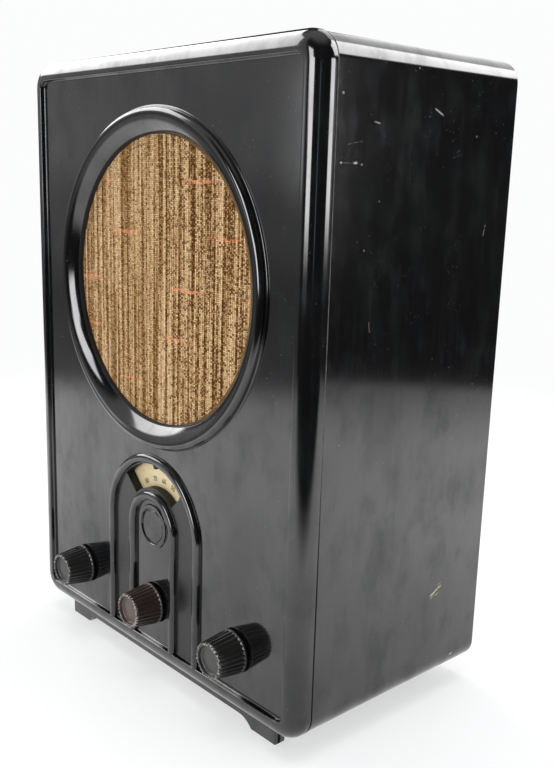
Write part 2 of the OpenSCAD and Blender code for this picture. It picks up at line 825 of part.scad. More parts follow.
// Thin glass bulb, open at the foot of its neck inside the base
module valve_bulb(x, r, belly, belly_z, dome, dome_z) {
    glass = 1;
    neck = r - 2;
    color([0.8, 0.85, 0.85, 0.4]) translate([x, valve_y, base_z + 4.4]) rotate_extrude() difference() {
        bulb_outline(neck, belly, belly_z, dome, dome_z);
        translate([0, -glass])
            bulb_outline(neck - glass, belly - glass, belly_z + glass, dome - glass, dome_z + glass);
    }
}

module detector_base() { valve_base(valve_x[0], base_r); }
module output_base() { valve_base(valve_x[1], base_r); }
module rectifier_base() { valve_base(valve_x[2], base_r); }
module detector_bulb() { valve_bulb(valve_x[0], base_r, 19, 50, 15, 74); }
module output_bulb() { valve_bulb(valve_x[1], base_r, 21, 52, 16, 78); }
module rectifier_bulb() { valve_bulb(valve_x[2], base_r, 20, 48, 14, 72); }

// Anode between two mica discs on a stem, inside each bulb
module valve_electrodes() {
    color([0.35, 0.35, 0.36]) for (x = valve_x) translate([x, valve_y, base_z + 4]) {
        cylinder(h = 34, r = 3.5);
        translate([0, 0, 34]) cylinder(h = 1, r = 10);
        translate([0, 0, 35]) cylinder(h = 26, r = 7.5);
        translate([0, 0, 61]) cylinder(h = 1, r = 10);
    }
}

// ---------- transformers and small electrical pieces ----------

// Laminated core with two windows, upright across x
module shell_core(w, d, h, window_w) {
    difference() {
        translate([-w/2, -d/2, 0]) cube([w, d, h]);
        for (side = [-1, 1]) translate([side*w/4 - window_w/2, -d, h/4]) cube([window_w, 2*d, h/2]);
    }
}

// Winding round the core's middle limb, filling the windows, with the round corners of wound wire
module core_winding(w, d, h, window_w, bulge) {
    play = 0.3;
    limb = w/2 - window_w;
    x = w/4 + window_w/2 - play;
    y = d/2 + bulge;
    r = bulge*0.7;
    translate([0, 0, h/4 + play]) linear_extrude(height = h/2 - 2*play) difference() {
        polygon(concat(
            arc(x - r, y - r, r, 0, 90, 5), arc(r - x, y - r, r, 90, 180, 5),
            arc(r - x, r - y, r, 180, 270, 5), arc(x - r, r - y, r, 270, 360, 5)
        ));
        square([limb, d], center = true);
    }
}

mains_size = [56, 26, 54, 14];         // core's width, depth and height, then a window's width
coupling_size = [44, 18, 40, 11];
module at_mains() { translate([86, 98, deck_z]) children(); }
module at_coupling() { translate([-86, 50, deck_z]) children(); }
module mains_core() {
    color([0.25, 0.25, 0.27]) at_mains()
        shell_core(mains_size[0], mains_size[1], mains_size[2], mains_size[3]);
}
module mains_coil() {
    color([0.72, 0.6, 0.35]) at_mains()
        core_winding(mains_size[0], mains_size[1], mains_size[2], mains_size[3], 11);
}
module coupling_core() {
    color([0.25, 0.25, 0.27]) at_coupling()
        shell_core(coupling_size[0], coupling_size[1], coupling_size[2], coupling_size[3]);
}
module coupling_winding() {
    color([0.72, 0.6, 0.35]) at_coupling()
        core_winding(coupling_size[0], coupling_size[1], coupling_size[2], coupling_size[3], 8);
}

// Folded tin can with its lid rim
module filter_capacitor() {
    color([0.7, 0.7, 0.66]) translate([42, 24, deck_z]) {
        cube([60, 30, 50]);
        translate([-0.8, -0.8, 47]) difference() {
            cube([61.6, 31.6, 4]);
            translate([2, 2, 3]) cube([57.6, 27.6, 2]);
        }
    }
}

module tag_board() {
    color([0.5, 0.27, 0.12]) translate([-30, 58, deck_z - sheet - 2]) cube([80, 38, 2]);
}

part_y = [65, 76, 87];

module resistors() {
    length = 22;
    cap = 2.5;
    color([0.35, 0.2, 0.12])
        for (y = part_y) translate([-24, y, deck_z - sheet - 6]) rotate([0, 90, 0]) {
            cylinder(h = length, r = 3);
            for (z = [1.5, length - 1.5 - cap]) translate([0, 0, z]) cylinder(h = cap, r = 3.4);
        }
}

module paper_capacitors() {
    color([0.8, 0.7, 0.5]) for (y = part_y) translate([8, y, deck_z - sheet - 7]) rotate([0, 90, 0])
        cylinder(h = 34, r = 4.2);
}

module fuse_holder() {
    color([0.85, 0.83, 0.76]) translate([-14, 62, deck_z]) difference() {
        cube([44, 12, 10]);
        translate([8, -1, 4]) cube([28, 14, 7]);
        translate([4, 6, 7.5]) rotate([0, 90, 0]) cylinder(h = 36, r = 2.6);
        translate([4, 3.4, 7.5]) cube([36, 5.2, 5]);
    }
}

module fuse() {
    length = 35.2;
    cap = 5;
    color([0.8, 0.85, 0.85]) translate([-9.6, 68, deck_z + 7.5]) rotate([0, 90, 0]) {
        cylinder(h = length, r = 2.2);
        for (z = [0, length - cap]) translate([0, 0, z]) cylinder(h = cap, r = 2.55);
    }
}

// ---------- rear controls and back ----------

module switch_body() {
    color([0.1, 0.07, 0.05]) translate([switch_x - 13, rear_apron_y - sheet - 22, rear_z - 10])
        cube([26, 22, 20]);
}

module switch_bush() {
    color("silver") difference() {
        union() {
            bar_y(switch_x, rear_z, rear_apron_y - sheet, rear_apron_y + 8, 5.9);
            translate([switch_x, rear_apron_y + 3, rear_z]) rotate([90, 0, 0])
                cylinder(h = 3, r = 9, $fn = 6);
        }
        bar_y(switch_x, rear_z, rear_apron_y, rear_apron_y + 9, 4.4);
    }
}

// Lever with a ball pivot inside the bush and a rounded grip
module switch_lever() {
    color("silver") translate([switch_x, switch_pivot_y, rear_z]) rotate([lever_rest, 0, 0]) {
        sphere(r = 2.4);
        bar_y(0, 0, 0, 14, 1.5);
        translate([0, 14, 0]) sphere(r = 2.4);
    }
}

module socket_strip() {
    color([0.4, 0.22, 0.1]) translate([0, 0, rear_z])
        slab(rear_apron_y, rear_apron_y + strip_t) difference() {
            translate([socket_x[0] - 12, -11]) square([socket_x[2] - socket_x[0] + 24, 22]);
            for (x = socket_x) translate([x, 0]) circle(3.2);
        }
}

// Brass sockets for 4 mm plugs: two aerial taps and earth
module aerial_sockets() {
    y0 = rear_apron_y;
    color([0.8, 0.68, 0.35]) for (x = socket_x) difference() {
        union() {
            bar_y(x, rear_z, y0 - 12, y0 + strip_t, 3.2);
            bar_y(x, rear_z, y0 + strip_t, y0 + strip_t + 2, 5);
        }
        bar_y(x, rear_z, y0 - 13, y0 + strip_t + 3, 2.05);
    }
}

module cord_grommet() {
    outside = -cover_y - back_t;
    lip = 1.6;
    color([0.08, 0.08, 0.08]) turned(inlet_x, rear_z) polygon([
        [inlet_r, -cover_y + lip], [7.6, -cover_y + lip], [8.4, -cover_y + lip/2], [8.4, -cover_y],
        [5.9, -cover_y], [5.9, outside],
        [8.4, outside], [8.4, outside - lip/2], [7.6, outside - lip], [inlet_r, outside - lip]
    ]);
}

module slot(x, z, w, h) {
    translate([x, z]) {
        square([w, h - w], center = true);
        for (side = [-1, 1]) translate([0, side*(h - w)/2]) circle(w/2);
    }
}

// Fibreboard back: round vents behind the loudspeaker, slots behind the valves, cut-outs below
module back_cover() {
    pitch = 22;
    play = 0.5;
    color([0.33, 0.22, 0.13]) slab(cover_y, cover_y + back_t) difference() {
        translate([0, cab_h/2])
            rounded_rect(2*(inner_x - play), ceiling_z - floor_z - 2*play, body_r - wall - play);
        for (row = [-3:3]) {
            count = 7 - abs(row);
            for (i = [0:count - 1])
                translate([(i - (count - 1)/2)*pitch, grille_z + row*pitch*sin(60)]) circle(vent_r);
        }
        for (x = [-99:18:99]) slot(x, 130, 6, 46);
        translate([socket_x[0] - 14, rear_z - 14]) square([socket_x[2] - socket_x[0] + 28, 28]);
        translate([switch_x - 15, rear_z - 14]) square([30, 28]);
        translate([inlet_x, rear_z]) circle(6);
        for (x = [-cover_boss_x, cover_boss_x], z = cover_boss_z) translate([x, z]) circle(2.1);
    }
}

module back_screws() {
    color("silver") for (x = [-cover_boss_x, cover_boss_x], z = cover_boss_z)
        translate([x, cover_y + back_t, z]) cover_screw(1.6, 16, 4, 2.4);
}

// ---------- the nodes ----------

in_frame() cabinet();
in_frame() grille_cloth();
in_frame() baffle_board();
in_frame() baffle_screws();
in_frame() tuning_knob();
in_frame() coupling_knob();
in_frame() reaction_knob();
in_frame() tuning_grub_screw();
in_frame() coupling_grub_screw();
in_frame() reaction_grub_screw();
in_frame() tuning_shaft();
in_frame() shaft_bushes();
in_frame() dial_disc();
in_frame() dial_hub();
in_frame() condenser_frame();
in_frame() condenser_stator();
in_frame() stator_insulators();
in_frame() condenser_rotor();
in_frame() coupling_shaft();
in_frame() swivel_coil();
in_frame() coil_former();
in_frame() coil_winding();
in_frame() reaction_rotor();
in_frame() reaction_stator();
in_frame() speaker_basket();
in_frame() speaker_cone();
in_frame() speaker_bridge();
in_frame() speaker_magnet();
in_frame() speaker_coil();
in_frame() speaker_rod();
in_frame() chassis();
in_frame() chassis_screws();
in_frame() valve_sockets();
in_frame() valve_electrodes();
in_frame() detector_base();
in_frame() detector_bulb();
in_frame() output_base();
in_frame() output_bulb();
in_frame() rectifier_base();
in_frame() rectifier_bulb();
in_frame() mains_core();
in_frame() mains_coil();
in_frame() coupling_core();
in_frame() coupling_winding();
in_frame() filter_capacitor();
in_frame() tag_board();
in_frame() resistors();
in_frame() paper_capacitors();
in_frame() fuse_holder();
in_frame() fuse();
in_frame() switch_body();
in_frame() switch_bush();
in_frame() switch_lever();
in_frame() socket_strip();
in_frame() aerial_sockets();
in_frame() cord_grommet();
in_frame() back_cover();
in_frame() back_screws();
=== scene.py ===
import contextlib
import math

import bmesh
import bpy
import numpy as np
from mathutils import Matrix, Vector


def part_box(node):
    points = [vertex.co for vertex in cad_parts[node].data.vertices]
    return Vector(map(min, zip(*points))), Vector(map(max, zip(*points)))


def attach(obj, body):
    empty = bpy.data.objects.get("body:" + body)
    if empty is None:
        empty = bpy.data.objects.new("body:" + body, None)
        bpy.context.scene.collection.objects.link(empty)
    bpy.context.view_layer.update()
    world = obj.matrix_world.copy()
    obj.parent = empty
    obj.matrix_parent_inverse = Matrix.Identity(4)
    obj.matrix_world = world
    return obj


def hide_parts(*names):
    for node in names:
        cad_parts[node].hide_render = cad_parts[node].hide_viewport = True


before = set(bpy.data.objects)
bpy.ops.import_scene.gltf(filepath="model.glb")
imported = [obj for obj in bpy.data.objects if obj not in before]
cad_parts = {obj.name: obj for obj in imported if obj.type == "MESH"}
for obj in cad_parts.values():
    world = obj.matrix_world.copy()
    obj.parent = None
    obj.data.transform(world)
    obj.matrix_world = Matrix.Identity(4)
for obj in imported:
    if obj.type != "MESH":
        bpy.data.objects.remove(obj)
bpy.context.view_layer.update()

scene = bpy.context.scene

# ---------- The camera ----------
# A long lens on a stand, a little above the middle of the set and to the right of its front,
# tipped down so that the floor before the feet is in view.

camera = bpy.data.objects.new("camera", bpy.data.cameras.new("camera"))
scene.collection.objects.link(camera)
scene.camera = camera
camera.location = (0.47188, -0.40306, 0.32507)
turn, tip, lean = 0.8376, 0.2249, 0.0268
camera.matrix_world = (
    Matrix.Translation(camera.location)
    @ Matrix.Rotation(turn, 4, "Z")
    @ Matrix.Rotation(math.pi / 2 - tip, 4, "X")
    @ Matrix.Rotation(lean, 4, "Z")
)
camera.data.lens = 44.05
camera.data.shift_x = 0.01839
camera.data.shift_y = 0.0130

# ---------- The studio ----------
# A pale seamless floor, soft boxes all round and the dim room beyond them. The set is as glossy
# as a mirror, so a card that only gloss sees stands for the lit paper on which it is placed.


class Wire:
    """One socket of a node tree. Sums on it add Math nodes; shader() and shape() add others."""

    def __init__(self, tree, socket=None):
        self.tree, self.socket = tree, socket

    def node(self, kind, sockets=None, output=0, stops=(), **settings):
        """Adds a node: first its settings, then the values or wires of its sockets."""
        made = self.tree.nodes.new(kind)
        for name, value in settings.items():
            setattr(made, name, value)
        if stops:
            ramp = made.color_ramp.elements
            while len(ramp) < len(stops):
                ramp.new(1)
            for element, (place, colour) in zip(ramp, stops):
                element.position, element.color = place, (*colour, 1)
        for key, value in (sockets or {}).items():
            socket = made.inputs[key]
            if isinstance(value, Wire):
                self.tree.links.new(value.socket, socket)
            else:
                rgba = socket.type == "RGBA" and len(value) == 3
                socket.default_value = (*value, 1) if rgba else value
        return Wire(self.tree, made.outputs[output])

    def shader(self, kind, *values, **settings):
        return self.node("ShaderNode" + kind, *values, **settings)

    def shape(self, kind, *values, **settings):
        return self.node("GeometryNode" + kind, *values, **settings)

    def maths(self, operation, *others):
        """A Math node whose first value is this wire."""
        return self.shader("Math", dict(enumerate((self, *others))), operation=operation)

    def vector(self, x, y, z):
        return self.shader("CombineXYZ", {0: x, 1: y, 2: z})

    def __abs__(self):
        return self.maths("ABSOLUTE")


SIGNS = {
    "add": "ADD", "sub": "SUBTRACT", "mul": "MULTIPLY", "truediv": "DIVIDE", "pow": "POWER",
    "mod": "FLOORED_MODULO", "lt": "LESS_THAN", "gt": "GREATER_THAN",
}


def signed(operation, turned):
    """The method of one sign, or of that sign with its two values the other way round."""

    def method(wire, other):
        pair = {0: other, 1: wire} if turned else {0: wire, 1: other}
        return wire.shader("Math", pair, operation=operation)

    return method


for sign, operation in SIGNS.items():
    setattr(Wire, f"__{sign}__", signed(operation, False))
    setattr(Wire, f"__r{sign}__", signed(operation, True))


def blend(mask, low, high):
    """A colour that goes from low to high with the mask."""
    return mask.shader("Mix", {0: mask, 6: low, 7: high}, output=2, data_type="RGBA")


def rise(value, low, high):
    """0 below low and 1 above high, smooth between."""
    sockets = {"Value": value, "From Min": low, "From Max": high}
    return value.shader("MapRange", sockets, interpolation_type="SMOOTHSTEP")


PALE = (0.975, 0.978, 0.98)
PAPER = 1.15
FLOOR_RADIUS, FLOOR_SIDES = 3.0, 96
NEAR, FAR = 0.35, 1.1


def mesh_of(name, points, faces, edges=()):
    """A plain mesh."""
    mesh = bpy.data.meshes.new(name)
    mesh.from_pydata(points, edges, faces)
    return mesh


def set_down(name, data):
    """An object of its own in the scene."""
    made = bpy.data.objects.new(name, data)
    scene.collection.objects.link(made)
    return made


def shaded(owner, output, paint):
    """Gives a material or a world its one tree, whose output takes the wire that paint gives."""
    owner.use_nodes = True
    tree = owner.node_tree
    tree.nodes.clear()
    tree.links.new(paint(Wire(tree)).socket, tree.nodes.new(output).inputs[0])


def stage_mesh(name, vertices, faces, paint):
    """A piece of the studio, which isn't part of the set."""
    stage_piece = set_down(name, mesh_of(name, vertices, faces))
    stage_piece.data.materials.append(bpy.data.materials.new(paint.__name__))
    shaded(stage_piece.data.materials[0], "ShaderNodeOutputMaterial", paint)
    return stage_piece


def pale_floor(start):
    """Lit paper near the set, that fades to the bright room further away."""
    place = start.shader("TexCoord", output=3)
    away = place.shader("VectorMath", {0: place}, output=1, operation="LENGTH")
    paper = start.shader("BsdfDiffuse", {"Color": (0.36, 0.362, 0.365)})
    glow = start.shader("Emission", {"Color": PALE, "Strength": 0.62})
    lit = start.shader("AddShader", {0: paper, 1: glow})
    far = start.shader("Emission", {"Color": PALE, "Strength": 1.0})
    return start.shader("MixShader", {0: rise(away, NEAR, FAR), 1: lit, 2: far})


def bend(cx, cy, radius, start, end, steps):
    """Points of an arc, both ends included, from and to an angle in degrees."""
    angles = np.radians(np.linspace(start, end, steps + 1))
    return [(cx + radius * math.cos(a), cy + radius * math.sin(a)) for a in angles]


def circle(cx, cy, radius, steps):
    """Points of a whole circle."""
    return bend(cx, cy, radius, 0, 360, steps)[:-1]


edge = [(x, y, 0) for x, y in circle(0, 0, FLOOR_RADIUS, FLOOR_SIDES)]
floor = stage_mesh("floor", edge, [list(range(FLOOR_SIDES))], pale_floor)
floor.visible_glossy = False


def parts(vector):
    """The x, y and z of a vector."""
    split = vector.shader("SeparateXYZ", {0: vector})
    return [Wire(split.tree, socket) for socket in split.socket.node.outputs]


# How far the paper reaches, in metres: where its gloss fades at each end, and where the set
# shades it.
LEFT_END, FRONT_END = (-1.02, -0.76), (-0.62, -0.38)
FAR_RIGHT_END, NEAR_RIGHT_END, FAR_SHARE = (1.04, 1.16), (0.7, 1.08), 0.55
SET_HALF_X, SET_HALF_Y, SHADE = 0.14, 0.08, (-0.04, 0.34)
CARD_Z = -0.0004


def paper_glow(start):
    """The bright paper as gloss sees it, which ends to the left, the right and the front."""
    place = start.shader("TexCoord", output=3)
    sockets = {"Vector": place, "Angle": -turn}
    across, along, _ = parts(start.shader("VectorRotate", sockets, rotation_type="Z_AXIS"))
    inside = rise(across, *LEFT_END) * rise(along, *FRONT_END)
    far_side, near_side = 1 - rise(across, *FAR_RIGHT_END), 1 - rise(across, *NEAR_RIGHT_END)
    inside = inside * (far_side * FAR_SHARE + near_side * (1 - FAR_SHARE))
    x, y, _ = parts(place)
    off_x = (abs(x) - SET_HALF_X).maths("MAXIMUM", 0.0)
    off_y = (abs(y) - SET_HALF_Y).maths("MAXIMUM", 0.0)
    shade = 0.6 + 0.4 * rise((off_x * off_x + off_y * off_y) ** 0.5, *SHADE)
    bright = start.shader("Emission", {"Color": PALE, "Strength": shade * PAPER})
    clear = start.shader("BsdfTransparent")
    return start.shader("MixShader", {0: inside, 1: clear, 2: bright})


square = [(-1, -1), (1, -1), (1, 1), (-1, 1)]
corners = [(x * FLOOR_RADIUS, y * FLOOR_RADIUS, CARD_Z) for x, y in square]
card = stage_mesh("paper_card", corners, [[0, 1, 2, 3]], paper_glow)
card.visible_camera = card.visible_diffuse = card.visible_shadow = False

# Soft boxes: middle and half width of the bearing, middle and half height over the horizon,
# softness of the edges, brightness and colour. Bearings run from the set's right-hand side
# towards its back, in degrees.
WHITE, COOL = (1.0, 1.0, 1.0), (0.98, 0.98, 1.0)
SOFT_BOXES = [
    (188, 34, 32, 17, 2.0, 4.6, WHITE),
    (121, 26, 3, 12, 4.0, 0.4, WHITE),
    (106, 24, 34, 22, 3.0, 1.25, WHITE),
    (64, 20, 34, 13, 2.0, 5.0, WHITE),
    (-95, 11, 18, 14, 3.0, 6.0, COOL),
    (-88, 12, 5.5, 9, 2.5, 7.0, COOL),
    (31, 12.5, 6, 9, 2.5, 6.2, COOL),
    (-41, 2.2, 1, 6, 2.0, 0.9, (0.55, 0.7, 1.0)),
    (-131, 5.2, 3, 3.5, 2.0, 1.6, (0.95, 0.97, 1.0)),
]
ROOM = (0.028, 0.029, 0.031)
CEILING, CEILING_FROM, CEILING_TO = (0.42, 0.42, 0.43), 48, 75
FRONT_BEARING, FRONT_FROM, FRONT_TO = -145, 20, 34
# Brightness of the room before the front panel, from WALL_SPAN degrees under the horizon to as
# many over it.
WALL_SPAN = 15
WALL_STOPS = [
    (0.0, 0.39), (0.04, 0.35), (0.1, 0.23), (0.17, 0.18), (0.27, 0.145), (0.37, 0.26), (0.46, 0.25),
    (0.53, 0.41), (0.6, 0.42), (1.0, 0.45),
]


def room_light(start):
    """The room as a world: wall before the front, ceiling, soft boxes, and pale to the camera."""
    x, y, z = parts(start.shader("TexCoord", output=0))
    degrees = 180 / math.pi
    bearing, height = y.maths("ARCTAN2", x) * degrees, z.maths("ARCSINE") * degrees
    stops = [(place, (level, level, level * 1.02)) for place, level in WALL_STOPS]
    wall = height.shader("ValToRGB", {0: (height + WALL_SPAN) / (2 * WALL_SPAN)}, stops=stops)
    aside = abs((bearing - FRONT_BEARING + 180) % 360 - 180)
    colour = blend(1 - rise(aside, FRONT_FROM, FRONT_TO), ROOM, wall)
    colour = blend(rise(height, CEILING_FROM, CEILING_TO), colour, CEILING)
    for middle, half, level, tall, soft, power, tint in SOFT_BOXES:
        off = abs((bearing - middle + 180) % 360 - 180)
        inside = 1 - rise(off, half - 1.5, half + 1.5)
        inside = inside * (1 - rise(abs(height - level), tall - soft, tall + soft))
        colour = blend(inside, colour, tuple(power * c for c in tint))
    seen = start.shader("LightPath", output=0)
    sockets = {"Color": blend(seen, colour, PALE), "Strength": 1.0}
    return start.shader("Background", sockets)


scene.world = bpy.data.worlds.new("studio")
shaded(scene.world, "ShaderNodeOutputWorld", room_light)

over = set_down("over", bpy.data.lights.new("over", "AREA"))
over.data.shape = "DISK"
over.data.size = 1.6
over.data.energy = 26
over.location = (0.1, 0.1, 1.9)
over.visible_glossy = False
scene.view_settings.view_transform = "Standard"

# ---------- The cabinet ----------
# One black phenolic moulding, pressed hot in a polished steel mould: front panel, rim, walls,
# feet, grille ring, arches and bosses. Its gloss is worn to a light haze and chipped brown.

MM = 0.001
RIM_PROUD = 2.9
RING_H = 4.5
FOOT_H = 12.5
CAB_W, CAB_H, CAB_D = 280, 385, 162
PANEL_T = 4.4
RIM_DEPTH = 10.3
case_low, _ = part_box("cabinet")
PANEL_Y = case_low.y / MM + RING_H


def placed(x, y, z):
    """The frame's place of the cabinet's millimetres: y back from the panel, z up from the rim."""
    return Vector((x * MM, case_low.y + (y + RING_H) * MM, case_low.z + (z + FOOT_H) * MM))


@contextlib.contextmanager
def opened(mesh, into=None):
    """The mesh as a bmesh that can be changed, written back when the block ends."""
    made = bmesh.new()
    made.from_mesh(mesh)
    yield made
    made.to_mesh(into or mesh)
    made.free()


def weld(mesh, dist=1e-7, outwards=True, into=None):
    """Joins a mesh's doubled points, and turns its faces outwards."""
    with opened(mesh, into) as made:
        bmesh.ops.remove_doubles(made, verts=made.verts, dist=dist)
        if outwards:
            bmesh.ops.recalc_face_normals(made, faces=made.faces)
    return into or mesh


def loops_solid(name, loops, closed=False):
    """Skin over loops of equal length: its ends are capped, or joined to each other."""
    size = len(loops[0])
    points = [p for loop in loops for p in loop]
    faces = []
    for k in range(len(loops) - (not closed)):
        a, b = k * size, (k + 1) % len(loops) * size
        faces += [[a + i, a + (i + 1) % size, b + (i + 1) % size, b + i] for i in range(size)]
    if not closed:
        faces += [list(range(size)), list(range((len(loops) - 1) * size, len(loops) * size))]
    return set_down(name, weld(mesh_of(name, [placed(*p) for p in points], faces)))


def lathe(name, x, z, profile, steps):
    """Closed profile of (radius, distance forward) turned about an axis that runs front to back."""
    loops = [
        [(x + r * across, -forward, z + r * up) for r, forward in profile]
        for across, up in circle(0, 0, 1, steps)
    ]
    return loops_solid(name, loops, closed=True)


def prism(name, outline, y0, y1, soft=0.0):
    """Front-view outline (x, z) from depth y0 back to y1, its edges eased by soft."""
    piece = loops_solid(name, [[(x, y, z) for x, z in outline] for y in (y0, y1)])
    if soft:
        with opened(piece.data) as made:
            eased = {"geom": made.edges[:], "offset": soft * MM, "segments": 2, "profile": 0.5}
            bmesh.ops.bevel(made, **eased, affect="EDGES")
    return piece


def carve(piece, tools, operation="DIFFERENCE"):
    """Cuts the tools out of a piece, or joins them to it, and deletes them."""
    for tool in tools:
        modifier = piece.modifiers.new("carve", "BOOLEAN")
        modifier.operation = operation
        modifier.solver = "MANIFOLD"
        modifier.object = tool
    settle(piece)
    for tool in tools:
        bpy.data.objects.remove(tool)
    return piece


def real_mesh(piece):
    """The plain mesh that a piece comes to, with its modifiers."""
    bpy.context.view_layer.update()
    depsgraph = bpy.context.evaluated_depsgraph_get()
    return bpy.data.meshes.new_from_object(piece.evaluated_get(depsgraph))


def settle(piece):
    """Puts a piece's modifiers into its mesh."""
    whole = real_mesh(piece)
    piece.modifiers.clear()
    piece.data = whole
    whole.name = piece.name
    return piece


def round_faces(mesh):
    for polygon in mesh.polygons:
        polygon.use_smooth = True


def coat(mesh, material):
    """Gives a mesh one material alone."""
    mesh.materials.clear()
    mesh.materials.append(material)


def smooth(piece, angle):
    """Rounds the shading of all edges flatter than the angle, with the flat faces kept flat."""
    with opened(piece.data) as made:
        bmesh.ops.remove_doubles(made, verts=made.verts, dist=1e-7)
        bmesh.ops.dissolve_degenerate(made, edges=made.edges, dist=1e-7)
    round_faces(piece.data)
    piece.data.set_sharp_from_angle(angle=math.radians(angle))
    weighted = piece.modifiers.new("weighted", "WEIGHTED_NORMAL")
    weighted.keep_sharp = True
    weighted.weight = 100
    return settle(piece)


CORNER_STEPS = 20


def rounded_loop(inset, depth, corner):
    """Points round the cabinet at an inset from the rim's outside."""
    half_x, half_z = CAB_W / 2 - inset, CAB_H / 2 - inset
    points = []
    for quarter, (side_x, side_z) in enumerate([(1, 1), (-1, 1), (-1, -1), (1, -1)]):
        cx, cz = side_x * (half_x - corner), side_z * (half_z - corner)
        arc = bend(cx, cz, corner, 90 * quarter, 90 * quarter + 90, CORNER_STEPS)
        points += [(x, depth, z + CAB_H / 2) for x, z in arc]
    return points


# The front panel's edge, round the rim and back along the wall: inset from the rim's outside, and
# depth behind the panel.
RIM_EDGE = 10.3
OUTLINE_R, BODY_R = 17, 15
rim_profile = (
    bend(13.3, -1.2, 1.2, 90, 180, 6)
    + bend(11.1, -2.0, 0.9, 0, -90, 6)
    + bend(RIM_EDGE, RIM_EDGE - RIM_PROUD, RIM_EDGE, -90, -180, 18)
    + bend(0.4, 9.9, 0.4, 180, 90, 4)
)
wall_profile = (
    [(0.8, 10.3)]
    + bend(1.4, 10.7, 0.4, 180, 181, 1)
    + bend(1.8, CAB_D - 0.8, 0.8, 180, 90, 5)
    + bend(4.5, CAB_D - 0.5, 0.5, 90, 0, 4)
    + bend(6, PANEL_T + 1, 1, 180, 270, 5)
)
loops = [rounded_loop(i, y, OUTLINE_R - i) for i, y in rim_profile]
loops += [rounded_loop(i, y, BODY_R - i) for i, y in wall_profile]
cabinet = loops_solid("cabinet_moulding", loops)

GRILLE_Z, GRILLE_R, RING_R = 249, 88.2, 103.5
EDGE_BEND, SLOPE_BEND, JOIN, SLOPE_END = 3.4, 20, 102, 137
foot_r = 1.0
crest_x, crest_f = RING_R - EDGE_BEND, RING_H - EDGE_BEND
slope_x = crest_x - (SLOPE_BEND - EDGE_BEND) * math.cos(math.radians(JOIN))
slope_f = crest_f - (SLOPE_BEND - EDGE_BEND) * math.sin(math.radians(JOIN))
foot_x = crest_x + math.sqrt((EDGE_BEND + foot_r) ** 2 - (foot_r - crest_f) ** 2)
meet = math.degrees(math.atan2(foot_r - crest_f, foot_x - crest_x))
ring_profile = (
    bend(foot_x, foot_r, foot_r, 270, 180 + meet, 5)
    + bend(crest_x, crest_f, EDGE_BEND, meet, JOIN, 16)[1:]
    + bend(slope_x, slope_f, SLOPE_BEND, JOIN, SLOPE_END - 2, 14)[1:]
    + [(GRILLE_R + 0.66, -1.62), (GRILLE_R + 0.6, -1.85), (GRILLE_R, -PANEL_T + 0.8)]
    + [(GRILLE_R, -PANEL_T), (foot_x, -PANEL_T)]
)
RING_STEPS, HOLE_R = 240, 95
ring = lathe("ring", 0, GRILLE_Z, ring_profile, RING_STEPS)
hole_profile = [(0, 6), (HOLE_R, 6), (HOLE_R, -8), (0, -8)]
grille_hole = lathe("hole", 0, GRILLE_Z, hole_profile, RING_STEPS)


def tree_of(name, sizes):
    """An empty Geometry Nodes tree with an input for each size; gives back its inputs by name."""
    tree = bpy.data.node_groups.new(name, "GeometryNodeTree")
    tree.is_modifier = True
    face = tree.interface
    face.new_socket("Geometry", in_out="INPUT", socket_type="NodeSocketGeometry")
    for size in sizes:
        kind = "NodeSocketInt" if isinstance(sizes[size], int) else "NodeSocketFloat"
        face.new_socket(size, in_out="INPUT", socket_type=kind)
    face.new_socket("Material", in_out="INPUT", socket_type="NodeSocketMaterial")
    face.new_socket("Geometry", in_out="OUTPUT", socket_type="NodeSocketGeometry")
    enter = tree.nodes.new("NodeGroupInput")
    return {socket.name: Wire(tree, socket) for socket in enter.outputs if socket.name}


def close_tree(inputs, geometry):
    """Ends a tree as every tree ends: instances made real, then the material."""
    whole = geometry.shape("RealizeInstances", {0: geometry})
    done = whole.shape("SetMaterial", {0: whole, "Material": inputs["Material"]})
    leave = done.tree.nodes.new("NodeGroupOutput")
    done.tree.links.new(done.socket, leave.inputs[0])
    return done.tree


def grown(name, tree, sizes, material, mesh=None):
    """Runs a tree with its sizes and gives back the plain mesh that it makes."""
    piece = set_down(name, mesh or bpy.data.meshes.new(name))
    modifier = piece.modifiers.new(name, "NODES")
    modifier.node_group = tree
    for item in tree.interface.items_tree:
        if item.in_out == "INPUT" and item.name in sizes:
            modifier[item.identifier] = sizes[item.name]
        if item.in_out == "INPUT" and item.name == "Material":
            modifier[item.identifier] = material
    return settle(piece)


def arch_tree(sizes):
    """Sweeps the incoming section up a leg, half a turn about the dial's axis and down a leg."""
    inputs = tree_of("Arch rib", sizes)
    radius, leg = inputs["Radius"], inputs["Leg"]
    share = 0.25
    line = radius.shape("MeshLine", {"Count": inputs["Steps"]}, mode="OFFSET")
    path = line.shape("MeshToCurve", {0: line})
    index = path.shape("InputIndex")
    along = index / (inputs["Steps"] - 1)
    angle = (along - share) / (1 - 2 * share)
    angle = angle.shader("Clamp", {0: angle}) * math.pi
    low = (share - along).maths("MAXIMUM", 0.0)
    high = (along - (1 - share)).maths("MAXIMUM", 0.0)
    across = radius * angle.maths("COSINE") * -1.0
    up = radius * angle.maths("SINE") - (low + high) / share * leg
    place = across.vector(across, up, 0.0)
    bent = path.shape("SetPosition", {0: path, "Position": place})
    bent = bent.shape("SetCurveNormal", {0: bent}, mode="Z_UP")
    section = radius.shape("MeshToCurve", {0: inputs["Geometry"]})
    rib = bent.shape("CurveToMesh", {0: bent, 1: section, "Fill Caps": True})
    return close_tree(inputs, rib)


ARCH_Z = 90.2
RIB_H = 3.1
RIB_SQUARE = 2.5
arch_sizes = {"Radius": 0.0465, "Leg": 0.079, "Steps": 97}
arch = arch_tree(arch_sizes)


